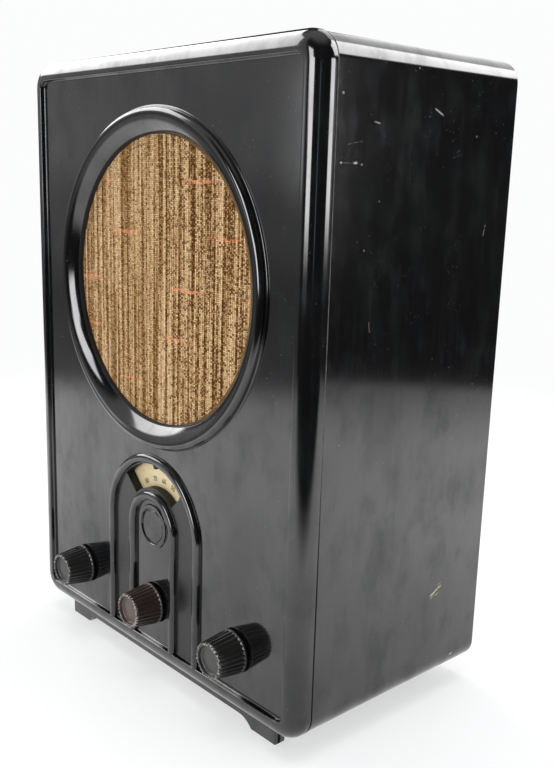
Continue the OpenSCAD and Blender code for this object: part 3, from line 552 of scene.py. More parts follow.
def arch_rib(name, radius, width):
    """One arch, moulded with the panel, standing in the rim at its two feet."""
    flank = [(width / 2 + 0.2, 0.0), (width / 2 + 0.06, 0.06)]
    for angle in np.radians(np.linspace(4, 90, 16)):
        across, up = math.cos(angle) ** (2 / RIB_SQUARE), math.sin(angle) ** (2 / RIB_SQUARE)
        flank.append((width / 2 * across, RIB_H * up))
    section = [(width / 2 + 0.2, -1.0)] + flank
    section += [(-u, f) for u, f in reversed(flank[:-1])] + [(-width / 2 - 0.2, -1.0)]
    edges = [(i, (i + 1) % len(section)) for i in range(len(section))]
    mesh = mesh_of(name, [(u * MM, -f * MM, 0) for u, f in section], [], edges)
    rib = grown(name, arch, {**arch_sizes, "Radius": radius * MM}, None, mesh)
    stood = Matrix.Rotation(math.pi / 2, 4, "X")
    rib.data.transform(Matrix.Translation(placed(0, 0, ARCH_Z)) @ stood)
    weld(rib.data)
    return rib


OUTER_RIB, INNER_RIB = (46.5, 6), (22, 6.4)
outer_rib = arch_rib("outer_rib", *OUTER_RIB)
inner_rib = arch_rib("inner_rib", *INNER_RIB)

MEDAL_Z = 91.8
medal_profile = [
    (0, -1), (0, 0.6), (10.1, 0.6), (10.5, 0.4), (10.8, 0.0), (11.4, 0.0), (11.8, 0.9), (12.1, 1.2),
    (14.0, 1.2), (14.4, 1.0), (14.7, 0.2), (15.1, -0.05), (15.1, -1),
]
medal = lathe("medal", 0, MEDAL_Z, medal_profile, 72)

STRIP_H, FOOT_IN, FOOT_OUT = 6.9, 91.7, 113.5
FOOT_CURVE, FOOT_T, FOOT_EASE = 15, 8, 0.5


def foot_wall(y):
    """Cross wall under the floor, with a foot at each end."""
    drop, curve = FOOT_H - STRIP_H, FOOT_CURVE
    reach = math.sqrt(curve ** 2 - (curve - drop) ** 2)
    ends = math.degrees(math.acos(reach / curve))
    hollow = bend(FOOT_IN - reach, -STRIP_H - curve, curve, ends, 90, 8)
    right = [(FOOT_OUT, 1.6), (FOOT_OUT, -FOOT_H)] + hollow
    outline = right + [(-x, z) for x, z in reversed(right)]
    return prism("feet", outline, y, y + FOOT_T, FOOT_EASE)


def pillar(x, z, y0, y1, radius, steps=40):
    return lathe("pillar", x, z, [(0, -y0), (radius, -y0), (radius, -y1), (0, -y1)], steps)


def post(x, y, z0, z1, radius, steps=40):
    """Upright round post."""
    section = circle(x, y, radius, steps)
    return loops_solid("post", [[(*spot, z) for spot in section] for z in (z0, z1)])


COVER_Y, BOARD_BACK = 154, 11.2
COVER_POST_R, BOARD_POST_R, CHASSIS_POST_R = 6.5, 5, 6
COVER_BORE_R, BOARD_BORE_R, CHASSIS_BORE_R, SHAFT_BORE_R = 1.7, 1.6, 2.2, 4.5
cover_screws = [(sx * 129, z) for sx in (-1, 1) for z in (11, 374)]
board_screws = [(sx * 100, GRILLE_Z + sz * 96) for sx in (-1, 1) for sz in (-1, 1)]
chassis_posts = [(sx * 100, y) for sx in (-1, 1) for y in (30, 130)]
joined = [ring, outer_rib, inner_rib, medal, foot_wall(7), foot_wall(CAB_D - 2 * FOOT_T)]
joined += [pillar(x, z, PANEL_T - 0.5, COVER_Y, COVER_POST_R) for x, z in cover_screws]
joined += [pillar(x, z, PANEL_T - 0.5, BOARD_BACK - 0.3, BOARD_POST_R) for x, z in board_screws]
joined += [post(x, y, 4.5, 12, CHASSIS_POST_R) for x, y in chassis_posts]

WINDOW = (27, 43)
WINDOW_HALF = 45
KNOB_X, KNOB_Z = 83.4, 38.6


def sector(r0, r1, half):
    """Ring sector about the dial's axis, symmetrical about the upright."""
    outer = bend(0, ARCH_Z, r1, 90 - half, 90 + half, 40)
    inner = bend(0, ARCH_Z, r0, 90 + half, 90 - half, 40)
    return outer + inner


holes = [prism("window", sector(*WINDOW, WINDOW_HALF), -RIB_H - 0.5, 7)]
holes += [pillar(x, KNOB_Z, -1, 6, SHAFT_BORE_R) for x in (-KNOB_X, 0, KNOB_X)]
holes += [pillar(x, z, COVER_Y - 18, COVER_Y + 1, COVER_BORE_R, 16) for x, z in cover_screws]
holes += [pillar(x, z, PANEL_T - 1, BOARD_BACK, BOARD_BORE_R, 16) for x, z in board_screws]
holes += [post(x, y, -1, 13, CHASSIS_BORE_R, 16) for x, y in chassis_posts]
carve(cabinet, [grille_hole])
carve(cabinet, joined, "UNION")
carve(cabinet, holes)
lip = sector(WINDOW[0] - 3, WINDOW[1] + 3, WINDOW_HALF + 5)
frame_ring = prism("frame", lip, PANEL_T - 0.5, 5.8)
carve(frame_ring, [prism("window", sector(*WINDOW, WINDOW_HALF), 0, 7)])
TOOTH = [(-2.5, 43.5), (2.5, 43.5), (1.1, 39.9), (-1.1, 39.9)]
tooth = prism("tooth", [(x, ARCH_Z + z) for x, z in TOOTH], 1, 4.4, 0.2)
carve(cabinet, [frame_ring, tooth], "UNION")
smooth(cabinet, 35)


def finish(name, paint, **constants):
    """A material: paint gives the wires of the shader's sockets, and constants set the others."""
    material = bpy.data.materials.new(name)
    material.use_nodes = True
    tree = material.node_tree
    shader = tree.nodes["Principled BSDF"]
    for key, value in constants.items():
        socket = shader.inputs[key.replace("_", " ")]
        socket.default_value = (*value, 1) if isinstance(value, tuple) else value
    for key, wire in paint(Wire(tree)).items():
        tree.links.new(wire.socket, shader.inputs[key])
    return material


def millimetres(start):
    """Place on the piece in millimetres, as one wire and as its three parts."""
    place = start.shader("TexCoord", output=3)
    place = place.shader("VectorMath", {0: place, 3: 1 / MM}, operation="SCALE")
    return place, *parts(place)


def from_axis(x, z, height):
    """Distance from an axis that runs front to back, at a height over the rim's foot."""
    return (x * x + (z - (height + FOOT_H)) ** 2.0) ** 0.5


def noise(place, size, detail, stretch=(1, 1, 1), rough=0.5):
    """Cloudy noise with blotches of about size millimetres, longer where stretch is large."""
    scale = tuple(1 / (size * s) for s in stretch)
    scaled = place.shader("VectorMath", {0: place, 1: scale}, operation="MULTIPLY")
    sockets = {"Vector": scaled, "Scale": 1.0, "Detail": detail, "Roughness": rough}
    return scaled.shader("TexNoise", sockets)


def bumped(height, distance, strength=1.0):
    """Normal of a surface that height, from 0 to 1, raises by distance in millimetres."""
    sockets = {"Height": height, "Distance": distance * MM, "Strength": strength}
    return height.shader("Bump", sockets)


def surface(colour, rough, height, distance, **others):
    """The wires of an ordinary surface, which height raises by distance in millimetres."""
    return {"Base Color": colour, "Roughness": rough, "Normal": bumped(height, distance), **others}


def stroke(across, up, middle, length, width, slope=0.0):
    """1 inside a short straight mark, in the plane of two wires, in millimetres."""
    c, s = math.cos(math.radians(slope)), math.sin(math.radians(slope))
    along = (across - middle[0]) * c + (up - middle[1]) * s
    aside = (up - middle[1]) * c - (across - middle[0]) * s
    inside = 1 - rise(abs(along), length / 2 - width, length / 2)
    return inside * (1 - rise(abs(aside), width / 4, width / 2))


# Chips and scratches on the right-hand wall: depth and height on the wall, length, width, slope
# and how pale each is.
WALL_MARKS = [
    ((14.7, 354.6), 2.2, 1.8, 80, 0.9), ((40.6, 342.1), 5.5, 0.9, -10, 0.45),
    ((90.2, 350.3), 9, 1.1, -23, 0.55), ((15.2, 321.4), 2.4, 1.2, 0, 0.7),
    ((25.6, 321.6), 3.6, 1.4, 4, 0.8), ((30.3, 320.9), 2, 1.1, 0, 0.5),
    ((22, 321.4), 15, 0.5, 0, 0.1), ((24.6, 331.4), 12, 0.6, 10, 0.07),
    ((71.6, 371.2), 2, 1.3, 0, 0.4), ((125.2, 339.1), 2.2, 1.5, 40, 0.5),
    ((139.2, 286.4), 7.6, 0.9, 77, 0.35), ((35.2, 277.6), 2.2, 1.2, 70, 0.3),
    ((42.3, 236.2), 7.4, 0.9, -80, 0.15), ((98.1, 213.5), 2, 1.2, 0, 0.12),
    ((23, 174.5), 1.8, 1.2, 0, 0.35), ((117.2, 63.4), 12.7, 1.4, 25, 0.9),
    ((118.8, 60.9), 4.2, 0.9, 25, 0.6), ((114.5, 60.2), 5, 0.9, 25, 0.55),
    ((120.5, 67.2), 5, 0.8, 25, 0.5), ((127.4, 68.6), 1.6, 1.3, 0, 0.3),
    ((138.4, 13.2), 4.6, 1.6, 4, 0.8),
]


def phenolic(start):
    place, x, y, z = millimetres(start)
    depth = y - PANEL_Y
    # Walls of the window and inner wall of the ring, made rough and without gloss so they look
    # dark.
    reach = from_axis(x, z, ARCH_Z)
    cut = rise(depth, 0.3, 0.9) * rise(reach, 25.5, 26.5) * (1 - rise(reach, 46, 48))
    lip = (1 - rise(from_axis(x, z, GRILLE_Z), 88.9, 89.3)) * rise(depth, 0.8, 1.5)
    # Painted shade on the strip between the two ribs: its gloss is taken away to darken it.
    over_axis = (z - (ARCH_Z + FOOT_H)).maths("MAXIMUM", 0.0)
    from_leg = (x * x + over_axis ** 2.0) ** 0.5
    rib_strip_shade = rise(from_leg, 25.2, 25.8) * (1 - rise(from_leg, 42.8, 43.4)) * rise(z, 22, 24)
    rib_strip_shade = rib_strip_shade * (1 - rise(depth, 0.3, 0.6)) * rise(depth, -1.2, -0.4)
    # The step behind the rim: grey dust high up, partly a painted highlight; a dark line low down.
    low = 1 - rise(z, 90, 230)
    seam = 1 - rise(abs(depth - (RIM_DEPTH - 0.2)) * (1 - low * 0.35), 0.45, 0.9)
    dust_and_highlight = seam * rise(noise(place, 3, 3), 0.2, 0.6) * (1 - low)
    # Haze over the gloss: soft clouds, upright smears, a bluish veil and pale specks.
    cloud = noise(place, 55, 3, (1, 1, 1.6))
    smear = noise(place, 4, 3, (1, 0.8, 10))
    film = rise(noise(place, 17, 5, (1, 1, 1.7), 0.62), 0.44, 0.72)
    grit = noise(place, 1.1, 1)
    speck = rise(grit, 0.72, 0.78) * rise(noise(place, 21, 2), 0.42, 0.68)
    brown = rise(noise(place, 30, 4, rough=0.6), 0.45, 0.8)
    base = blend(brown, (0.0022, 0.0022, 0.0024), (0.0042, 0.0033, 0.0027))
    haze = rise(smear, 0.45, 0.75)
    veil = rise(noise(place, 48, 3, (1, 1, 1.4)), 0.4, 0.65)
    tint = blend(veil, (0.0125, 0.0155, 0.0125), (0.016, 0.018, 0.023))
    base = blend(film * 0.45 + haze * 0.2, base, tint)
    base = blend(speck * 0.6, base, (0.14, 0.13, 0.115))
    base = blend(dust_and_highlight, base, (0.09, 0.085, 0.076))
    rough = 0.08 + cloud * 0.05 + film * 0.04 + speck * 0.3 + rib_strip_shade * 0.16
    worn = None
    for (back, up), length, width, slope, tone in WALL_MARKS:
        mark = stroke(depth, z, (back, up + FOOT_H), length, width, slope) * tone
        worn = mark if worn is None else worn.maths("MAXIMUM", mark)
    worn = worn * (x > (CAB_W / 2 - 2)) * rise(noise(place, 1.1, 2), 0.3, 0.5)
    base = blend(worn, base, blend(rise(z, 90, 200), (0.62, 0.53, 0.33), (0.6, 0.54, 0.48)))
    bare = worn.maths("MAXIMUM", seam).maths("MAXIMUM", cut.maths("MAXIMUM", lip))
    swell = noise(place, 24, 1)
    gloss = 0.88 - film * 0.5 - veil * 0.3 - haze * 0.1
    return {
        "Base Color": base,
        "Roughness": rough + bare * 0.6,
        "Metallic": seam * low,
        "Coat Weight": gloss * (1 - bare) * (1 - rib_strip_shade * 0.95),
        "Normal": bumped(swell * 0.9 + film * 0.05 + worn * -0.5 + seam * -1.5, 0.045),
    }


coat(
    cabinet.data,
    finish("moulding_black", phenolic, IOR=1.63, Coat_Roughness=0.045, Coat_IOR=1.55),
)
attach(cabinet, "cabinet")
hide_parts("cabinet")

# ---------- The grille cloth ----------
# Rayon and cotton weave with slubs, tan and brown down the warp, a coral thread now and then in
# the weft. It is cut round and held flat between the front panel and the baffle board.

CLOTH_R, CLOTH_T = 99.8, 0.5
SLACK_R, WEAVE_SPAN = 86, 100


def grille_sheet():
    """A round sheet with the faint billow that old cloth has, fixed at its edge."""
    spokes, hoops = 180, 60
    points, faces = [(0.0, 0.0)], []
    for k in range(1, hoops + 1):
        points += circle(0, 0, CLOTH_R * k / hoops, spokes)
    for i in range(spokes):
        faces.append((0, 1 + i, 1 + (i + 1) % spokes))
        for k in range(hoops - 1):
            a, b = 1 + k * spokes, 1 + (k + 1) * spokes
            faces.append((a + i, b + i, b + (i + 1) % spokes, a + (i + 1) % spokes))
    shaped = []
    for x, up in points:
        slack = max(0.0, 1 - (math.hypot(x, up) / SLACK_R) ** 2)
        wave = 0.10 * math.sin(x / 23 + 1) + 0.08 * math.sin(up / 31 + x / 60)
        shaped.append(placed(x, PANEL_T + 0.26 + slack * wave, GRILLE_Z + up))
    mesh = mesh_of("cloth", shaped, faces)
    uv = mesh.uv_layers.new(name="weave")
    for loop in mesh.loops:
        x, up = points[loop.vertex_index]
        uv.data[loop.index].uv = (x / WEAVE_SPAN, up / WEAVE_SPAN)
    sheet = set_down("grille_cloth_sheet", mesh)
    thick = sheet.modifiers.new("thick", "SOLIDIFY")
    thick.thickness, thick.offset = CLOTH_T * MM, 0
    settle(sheet)
    round_faces(sheet.data)
    return sheet


# Coral threads in the weft: place across and up from the cloth's middle, length, and strength.
CORAL_THREADS = [
    (-58, 60.3, 18, 0.45), (38, 60.9, 28, 0.65), (-36.8, 29.1, 32, 0.6), (63.3, 29.8, 32, 0.6),
    (-74.8, -2.9, 26, 0.55), (25.5, -2.4, 33, 0.6), (-74, -34.3, 22, 0.5), (15, -33.4, 22, 0.6),
    (-29.6, -64.9, 24, 0.45), (54.8, -65.8, 8, 0.35), (84, -3, 12, 0.25),
]
WARP, WEFT = 1.6, 1.15
YARN_STOPS = [
    (0.0, (0.085, 0.032, 0.006)), (0.3, (0.215, 0.11, 0.037)), (0.5, (0.37, 0.222, 0.102)),
    (0.7, (0.565, 0.385, 0.205)), (0.92, (0.785, 0.59, 0.355)),
]


def weave(start):
    flat = start.shader("UVMap", uv_map="weave")
    place = flat.shader("VectorMath", {0: flat, 3: WEAVE_SPAN}, operation="SCALE")
    across, up, _ = parts(place)
    x = across + (noise(place, 14, 2) - 0.5) * 0.9 + (noise(place, 3.1, 2, (1, 40, 1)) - 0.5) * 0.7
    z = up + (noise(place, 19, 2) - 0.5) * 1.4
    # One tone for each warp yarn and one for each crossing.
    column = (x / WARP).maths("FLOOR")
    warp_tone = column.shader("TexWhiteNoise", {"W": column}, noise_dimensions="1D")
    lift = z / WEFT + warp_tone * 0.5 + (noise(place, 2.4, 1) - 0.5) * 0.7
    row = lift.maths("FLOOR")
    cell = x.vector(column, row, 0.0)
    nub_tone = cell.shader("TexWhiteNoise", {"Vector": cell}, noise_dimensions="2D")
    yarn = (x / WARP % 1.0 - 0.5) * 2
    loop = (lift % 1.0 - 0.5) * 2
    round_yarn = 1 - yarn * yarn
    round_loop = 1 - loop * loop
    fleck = noise(place, 0.8, 2)
    stripe = noise(place, 3.2, 2, (1, 70, 1), 0.6)
    line = rise(stripe, 0.38, 0.58)
    drift = noise(place, 26, 2, (1, 2.5, 1))
    cluster = noise(place, 4.5, 3, (1, 2.2, 1))
    shade = (
        line * 0.4 + warp_tone * 0.2 + nub_tone * 0.3 + fleck * 0.9 + cluster * 0.4
        + round_loop * 0.22 + round_yarn * 0.28 - 1.0
    )
    tan = shade.shader("ValToRGB", {0: shade}, stops=YARN_STOPS)
    # Dark gaps beside the yarns, and crossings where the brown weft lies on top. There are more of
    # them towards the right-hand side.
    right = rise(across, -35, 45)
    chance = 0.01 + right * 0.08 + (1 - line) * (0.14 + right * 0.3) + (drift - 0.5) * 0.1
    side_gap = rise(1 - round_yarn, 0.5, 0.95) * rise(warp_tone, 0.3, 0.7)
    loop_gap = rise(1 - round_loop, 0.5, 1.0) * rise(nub_tone, 0.45, 0.85)
    under = (row + column) % 2.0
    dots = (1 - rise(nub_tone * 0.7 + under * 0.3 - chance, 0.0, 0.1)) * (0.6 + round_yarn * 0.4)
    dark = (side_gap * 0.45).maths("MAXIMUM", loop_gap * 0.4)
    dark = dark.maths("MAXIMUM", dots * (0.52 + right * 0.26))
    colour = blend(dark, tan, (0.05, 0.016, 0.002))
    coral = None
    for aside, high, length, strength in CORAL_THREADS:
        mark = stroke(across, z, (aside, high), length, 2.6) * strength
        coral = mark if coral is None else coral.maths("MAXIMUM", mark)
    on_top = rise(fleck + nub_tone * 0.3 + (1 - dark) * 0.2, 0.4, 0.95)
    coral = coral * on_top * (0.4 + round_yarn * 0.45)
    colour = blend(coral, colour, (0.95, 0.33, 0.18))
    height = round_yarn * 0.6 + round_loop * 0.5 + fleck * 0.5 - dark * 0.6
    return {
        "Base Color": colour,
        "Roughness": 0.82 + fleck * 0.15,
        "Normal": bumped(height, 0.4, 0.7),
    }


cloth = grille_sheet()
coat(cloth.data, finish("slub_weave", weave, Specular_IOR_Level=0.03))
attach(cloth, "cabinet")
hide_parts("grille_cloth")

# ---------- The dial ----------
# Cream enamelled disc on the condenser's shaft, printed with its divisions in brown. A small
# tooth of the window's frame marks the reading.

READING = 62.7
DIAL_Y = 6.6
SCALE_TURN = 180
PRINT_LIFT = 0.03


def cream_enamel(start):
    place, x, _, z = millimetres(start)
    age = noise(place, 9, 3)
    stain = rise(noise(place, 3.2, 3), 0.55, 0.8)
    reach = from_axis(x, z, ARCH_Z)
    # Painted shade: rings of darker enamel where the window's edges shadow the disc.
    window_edge_shade = rise(reach, 37, 44) * 0.35 + (1 - rise(reach, 27, 30)) * 0.4
    cream = blend(age, (0.71, 0.575, 0.305), (0.82, 0.70, 0.43))
    cream = blend(stain * 0.25 + window_edge_shade * 0.6, cream, (0.52, 0.37, 0.17))
    return surface(cream, 0.38 + stain * 0.2, noise(place, 0.5, 2), 0.01)


def brown_print(deep, thin):
    def paint(start):
        worn = noise(millimetres(start)[0], 0.6, 2)
        return {"Base Color": blend(worn, deep, thin), "Roughness": 0.5 + worn * 0.2}

    return paint


def division_angle(value):
    return math.radians(90 + (value - READING) * SCALE_TURN / 100)


def ticks_tree(sizes):
    """A row of short bars on a circle, each turned to point outwards."""
    inputs = tree_of("Divisions", sizes)
    row = inputs["Radius"].shape("MeshLine", {"Count": inputs["Count"]}, mode="OFFSET")
    index = row.shape("InputIndex")
    angle = inputs["First"] + index * inputs["Step"]
    radius = inputs["Radius"]
    place = radius.vector(radius * angle.maths("COSINE"), 0.0, radius * angle.maths("SINE"))
    set_row = row.shape("SetPosition", {0: row, "Position": place})
    size = radius.vector(inputs["Length"], 0.00002, inputs["Width"])
    bar = radius.shape("MeshCube", {"Size": size})
    facing = angle.vector(0.0, angle * -1.0, 0.0)
    sockets = {"Points": set_row, "Instance": bar, "Rotation": facing}
    return close_tree(inputs, row.shape("InstanceOnPoints", sockets))


FIGURE_R, FIGURE_SIZE, FIGURE_SHARE = 31.4, 4.7, 0.92


def dial_figures():
    """The plain tens, upright towards the rim, as one thin printed mesh."""
    whole = bmesh.new()
    for ten in range(0, 101, 10):
        curve = bpy.data.curves.new("figure", "FONT")
        curve.body, curve.size, curve.extrude, curve.offset = str(ten), FIGURE_SIZE, 0.01, 0.09
        curve.align_x, curve.align_y = "CENTER", "CENTER"
        maker = set_down("figure", curve)
        mesh = weld(real_mesh(maker), 1e-6, outwards=False)
        bpy.data.objects.remove(maker)
        angle = division_angle(ten)
        across, up = FIGURE_R * math.cos(angle), ARCH_Z + FIGURE_R * math.sin(angle)
        mesh.transform(
            Matrix.Translation(placed(across, DIAL_Y - PRINT_LIFT, up))
            @ Matrix.Rotation(math.pi / 2 - angle, 4, "Y")
            @ Matrix.Rotation(math.pi / 2, 4, "X")
            @ Matrix.Scale(FIGURE_SHARE, 4, (1, 0, 0))
            @ Matrix.Scale(MM, 4)
        )
        whole.from_mesh(mesh)
    bmesh.ops.recalc_face_normals(whole, faces=whole.faces)
    mesh = bpy.data.meshes.new("dial_numbers")
    whole.to_mesh(mesh)
    whole.free()
    return set_down("dial_numbers", mesh)


enamel = finish("cream_enamel", cream_enamel, IOR=1.5, Coat_Weight=0.3, Coat_Roughness=0.2)
ink = finish("brown_print", brown_print((0.06, 0.04, 0.015), (0.13, 0.085, 0.035)))
faint_ink = finish("faint_print", brown_print((0.42, 0.3, 0.15), (0.62, 0.48, 0.27)))
numbers = dial_figures()
coat(numbers.data, ink)
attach(numbers, "dial")
for name, count, radius, length, width in (
    ("dial_divisions", 51, 38.6, 2.0, 0.22),
    ("dial_tens", 11, 38.0, 3.4, 0.4),
):
    sizes = {
        "Count": count, "Radius": radius * MM, "First": division_angle(0),
        "Step": math.radians(SCALE_TURN / (count - 1)), "Length": length * MM, "Width": width * MM,
    }
    row = grown(name, ticks_tree(sizes), sizes, faint_ink)
    row.data.transform(Matrix.Translation(placed(0, DIAL_Y - PRINT_LIFT, ARCH_Z)))
    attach(row, "dial")


def dress(material, *nodes):
    """Gives CAD nodes a finish."""
    for name in nodes:
        coat(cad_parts[name].data, material)


dress(enamel, "dial_disc")

# ---------- The knobs ----------
# Three tapered, fluted knobs pressed in phenolic, black at the sides and maroon in the middle,
# each with a thin flange and a dished front. A grub screw holds each on its shaft.

KNOB_GAP = 1.3
KNOB_BACK_R, KNOB_FRONT_R = 13.3, 11.3
TAPER_FROM, TAPER_TO = 3.2, 19.5
FLUTES = 28
SHAFT_R, SHAFT_TIP = 3, 15
GRUB_Y = 7


def knob_blank():
    """The knob before its flutes: turned round y, with how deep a flute may cut at each point."""
    radii = np.linspace(KNOB_BACK_R, KNOB_FRONT_R, 9)
    taper = [(r, forward, 1) for r, forward in zip(radii, np.linspace(TAPER_FROM, TAPER_TO, 9))]
    profile = [
        (0.0, KNOB_GAP, 0), (12.9, KNOB_GAP, 0), (13.45, 1.5, 0), (13.6, 1.8, 0), (13.6, 2.3, 0),
        (13.5, 2.65, 0), (13.34, 2.75, 0), *taper, (11.2, 19.95, 1), (11.0, 20.25, 1),
        (10.7, 20.42, 1), (10.2, 20.48, 0.6), (9.6, 20.45, 0.2), (9.15, 20.3, 0), (8.95, 20.0, 0),
        (8.85, 19.3, 0), (8.7, 18.8, 0), (8.45, 18.5, 0), (8.05, 18.32, 0), (7.5, 18.3, 0),
        (6.2, 18.42, 0), (4.6, 18.6, 0), (2.6, 18.74, 0), (0.0, 18.8, 0),
    ]
    around = FLUTES * 12
    points = [
        (r * across, -forward * MM, r * up)
        for across, up in circle(0, 0, MM, around)
        for r, forward, _ in profile
    ]
    size = len(profile)
    faces = []
    for k in range(around):
        a, b = k * size, (k + 1) % around * size
        faces += [[a + i, a + i + 1, b + i + 1, b + i] for i in range(size - 1)]
    mesh = mesh_of("knob_blank", points, faces)
    depth = mesh.attributes.new("cut", "FLOAT", "POINT")
    depth.data.foreach_set("value", [weight for *_, weight in profile] * around)
    return weld(mesh, 1e-6)


def flutes_tree(sizes):
    """Presses round hollows into the blank, with narrow lands left between them."""
    inputs = tree_of("Knob flutes", sizes)
    start = inputs["Depth"]
    place = start.shape("InputPosition")
    x, y, z = parts(place)
    cut = start.shape("InputNamedAttribute", {"Name": "cut"}, data_type="FLOAT")
    angle = z.maths("ARCTAN2", x) / (2 * math.pi)
    share = (angle * inputs["Flutes"] + 100.0) % 1.0
    off_land = abs(share * 2 - 1) / inputs["Hollow"]
    hollow = (1 - off_land * off_land).maths("MAXIMUM", 0.0) ** 0.5
    radius = (x * x + z * z) ** 0.5 + 0.000001
    inward = hollow * cut * inputs["Depth"] / radius * -1.0
    move = x.vector(x * inward, 0.0, z * inward)
    pressed = start.shape("SetPosition", {0: inputs["Geometry"], "Offset": move})
    return close_tree(inputs, pressed)


def knob_finish(deep, light, bloom):
    """Old phenolic: dull in the flutes, dusty on the lands and in the dish, chipped at the edge."""

    def paint(start):
        place, x, y, z = millimetres(start)
        forward = PANEL_Y - y
        aside = (x + KNOB_X * 1.5) % KNOB_X - KNOB_X / 2
        reach = from_axis(aside, z, KNOB_Z)
        cloud = noise(place, 6, 3)
        grain = noise(place, 0.9, 2)
        dish = (1 - rise(reach, 8.5, 9.1)) * rise(forward, 17.5, 18.1)
        edge = rise(forward, 18.6, 20.2) * rise(reach, 9.2, 10.2)
        chips = edge * rise(noise(place, 1.3, 2), 0.48, 0.6)
        dust = rise(grain, 0.5, 0.75) * 0.25 + dish * (0.15 + cloud * 0.4) + edge * 0.25
        base = blend(cloud, deep, light)
        base = blend(dust, base, bloom)
        base = blend(chips, base, (0.40, 0.385, 0.36))
        rough = 0.3 + cloud * 0.14 + (edge + dish) * 0.1 + chips * 0.2
        return surface(base, rough, noise(place, 0.35, 2) - chips * 0.8, 0.03)

    return paint


flute_sizes = {"Flutes": FLUTES, "Depth": 0.00078, "Hollow": 0.74}
flutes = flutes_tree(flute_sizes)
blank = knob_blank()
black_knob, maroon_knob = (
    finish(name, knob_finish(*tones), IOR=1.6, Coat_Weight=0.3, Coat_Roughness=0.2)
    for name, *tones in (
        ("knob_black", (0.010, 0.010, 0.0095), (0.018, 0.018, 0.016), (0.066, 0.065, 0.061)),
        ("knob_maroon", (0.022, 0.013, 0.011), (0.042, 0.024, 0.02), (0.16, 0.11, 0.10)),
    )
)
KNOBS = [
    ("tuning_knob", 0, "tuning_drive", maroon_knob, "knob_brown", -100),
    ("coupling_knob", -KNOB_X, "coupling_control", black_knob, "knob_black", 95),
    ("reaction_knob", KNOB_X, "reaction_control", black_knob, "knob_black", -120),
]
for node, x, body, material, slot, grub_angle in KNOBS:
    knob = grown(node + "_pressed", flutes, flute_sizes, material, blank.copy())
    knob.data.transform(Matrix.Translation(placed(x, 0, KNOB_Z)))
    bore = pillar(x, KNOB_Z, -SHAFT_TIP - 0.5, -KNOB_GAP + 1, SHAFT_R, 32)
    grub_bore = post(0, 0, SHAFT_R - 1, KNOB_BACK_R + 2, 1.5, 24)
    lay = Matrix.Rotation(math.pi / 2 - math.radians(grub_angle), 4, "Y")
    home = Matrix.Translation(-placed(0, 0, 0))
    grub_bore.data.transform(Matrix.Translation(placed(x, -GRUB_Y, KNOB_Z)) @ lay @ home)
    carve(knob, [bore, grub_bore])
    smooth(knob, 40)
    coat(knob.data, material)
    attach(knob, body)
    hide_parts(node)


def plated(colour, rough, streak=(1, 1, 1)):
    """Turned or rolled metal: fine tool marks, dull patches and a little tarnish."""

    def paint(start):
        place, *_ = millimetres(start)
        lines = noise(place, 0.5, 2, streak)
        dull = noise(place, 7, 3)
        tarnish = rise(noise(place, 3.5, 3), 0.52, 0.78)
        metal = blend(tarnish * 0.55, colour, tuple(c * 0.5 for c in colour))
        return surface(metal, rough + dull * 0.16 + lines * 0.08, lines, 0.008)

    return paint


steel = finish("plated_steel", plated((0.62, 0.61, 0.58), 0.24), Metallic=1.0)
dress(steel, "tuning_grub_screw", "coupling_grub_screw", "reaction_grub_screw")

# ---------- The dial drive ----------
# A steel spindle in a brass bush turns the dial: its narrow grooved pulley grips the edge of the
# disc. The disc is riveted to a brass hub on the condenser's shaft.

brass = finish("brass", plated((0.70, 0.50, 0.22), 0.26), Metallic=1.0)
dress(steel, "tuning_shaft", "coupling_shaft")
dress(brass, "shaft_bushes", "dial_hub")

# ---------- The condensers ----------
# Sheet aluminium plates interleaved on a pressed frame, with the fixed ones held clear of it by
# washers of brown laminate. The small one for reaction has laminate boards.

aluminium = finish("aluminium_sheet", plated((0.78, 0.78, 0.77), 0.34, (1, 1, 12)), Metallic=1.0)
frame_steel = finish("cadmium_steel", plated((0.56, 0.56, 0.52), 0.38), Metallic=0.9)


def grained(deep, light, fine, coarse, share, gloss, spread, height):
    """Paper, board or cord in two tones: a fine grain and a coarse mottle, each with its share."""

    def paint(start):
        place, *_ = millimetres(start)
        grain, mottle = noise(place, *fine), noise(place, *coarse)
        colour = blend(grain * share + mottle * (1 - share), deep, light)
        return surface(colour, gloss + grain * spread, grain, height)

    return paint


laminate = grained(
    (0.11, 0.045, 0.016), (0.24, 0.115, 0.04), (2.2, 3, (3, 3, 1)), (11, 3), 0.6, 0.32, 0.2, 0.02
)
brown_laminate = finish("brown_laminate", laminate, IOR=1.55)
dress(frame_steel, "condenser_frame")
dress(aluminium, "condenser_stator", "condenser_rotor", "reaction_rotor")
dress(brown_laminate, "stator_insulators", "reaction_stator")

# ---------- The aerial coupler ----------
# A laminate tube wound in two bands with cotton-covered copper, round a smaller coil that
# swings on the left-hand knob's shaft.


def winding_tree(sizes):
    """Close turns of round wire in an upright helix."""
    inputs = tree_of("Close winding", sizes)
    turns, pitch, radius = inputs["Turns"], inputs["Pitch"], inputs["Radius"]
    sockets = {
        "Resolution": inputs["Resolution"], "Rotations": turns, "Start Radius": radius,
        "End Radius": radius, "Height": turns * pitch,
    }
    spiral = turns.shape("CurveSpiral", sockets)
    wire = pitch.shape("CurvePrimitiveCircle", {0: 5, "Radius": pitch * 0.47})
    coil = spiral.shape("CurveToMesh", {0: spiral, 1: wire, "Fill Caps": True})
    middle = turns.vector(0.0, 0.0, turns * pitch * -0.5)
    centred = coil.shape("Transform", {0: coil, "Translation": middle})
    return close_tree(inputs, centred)


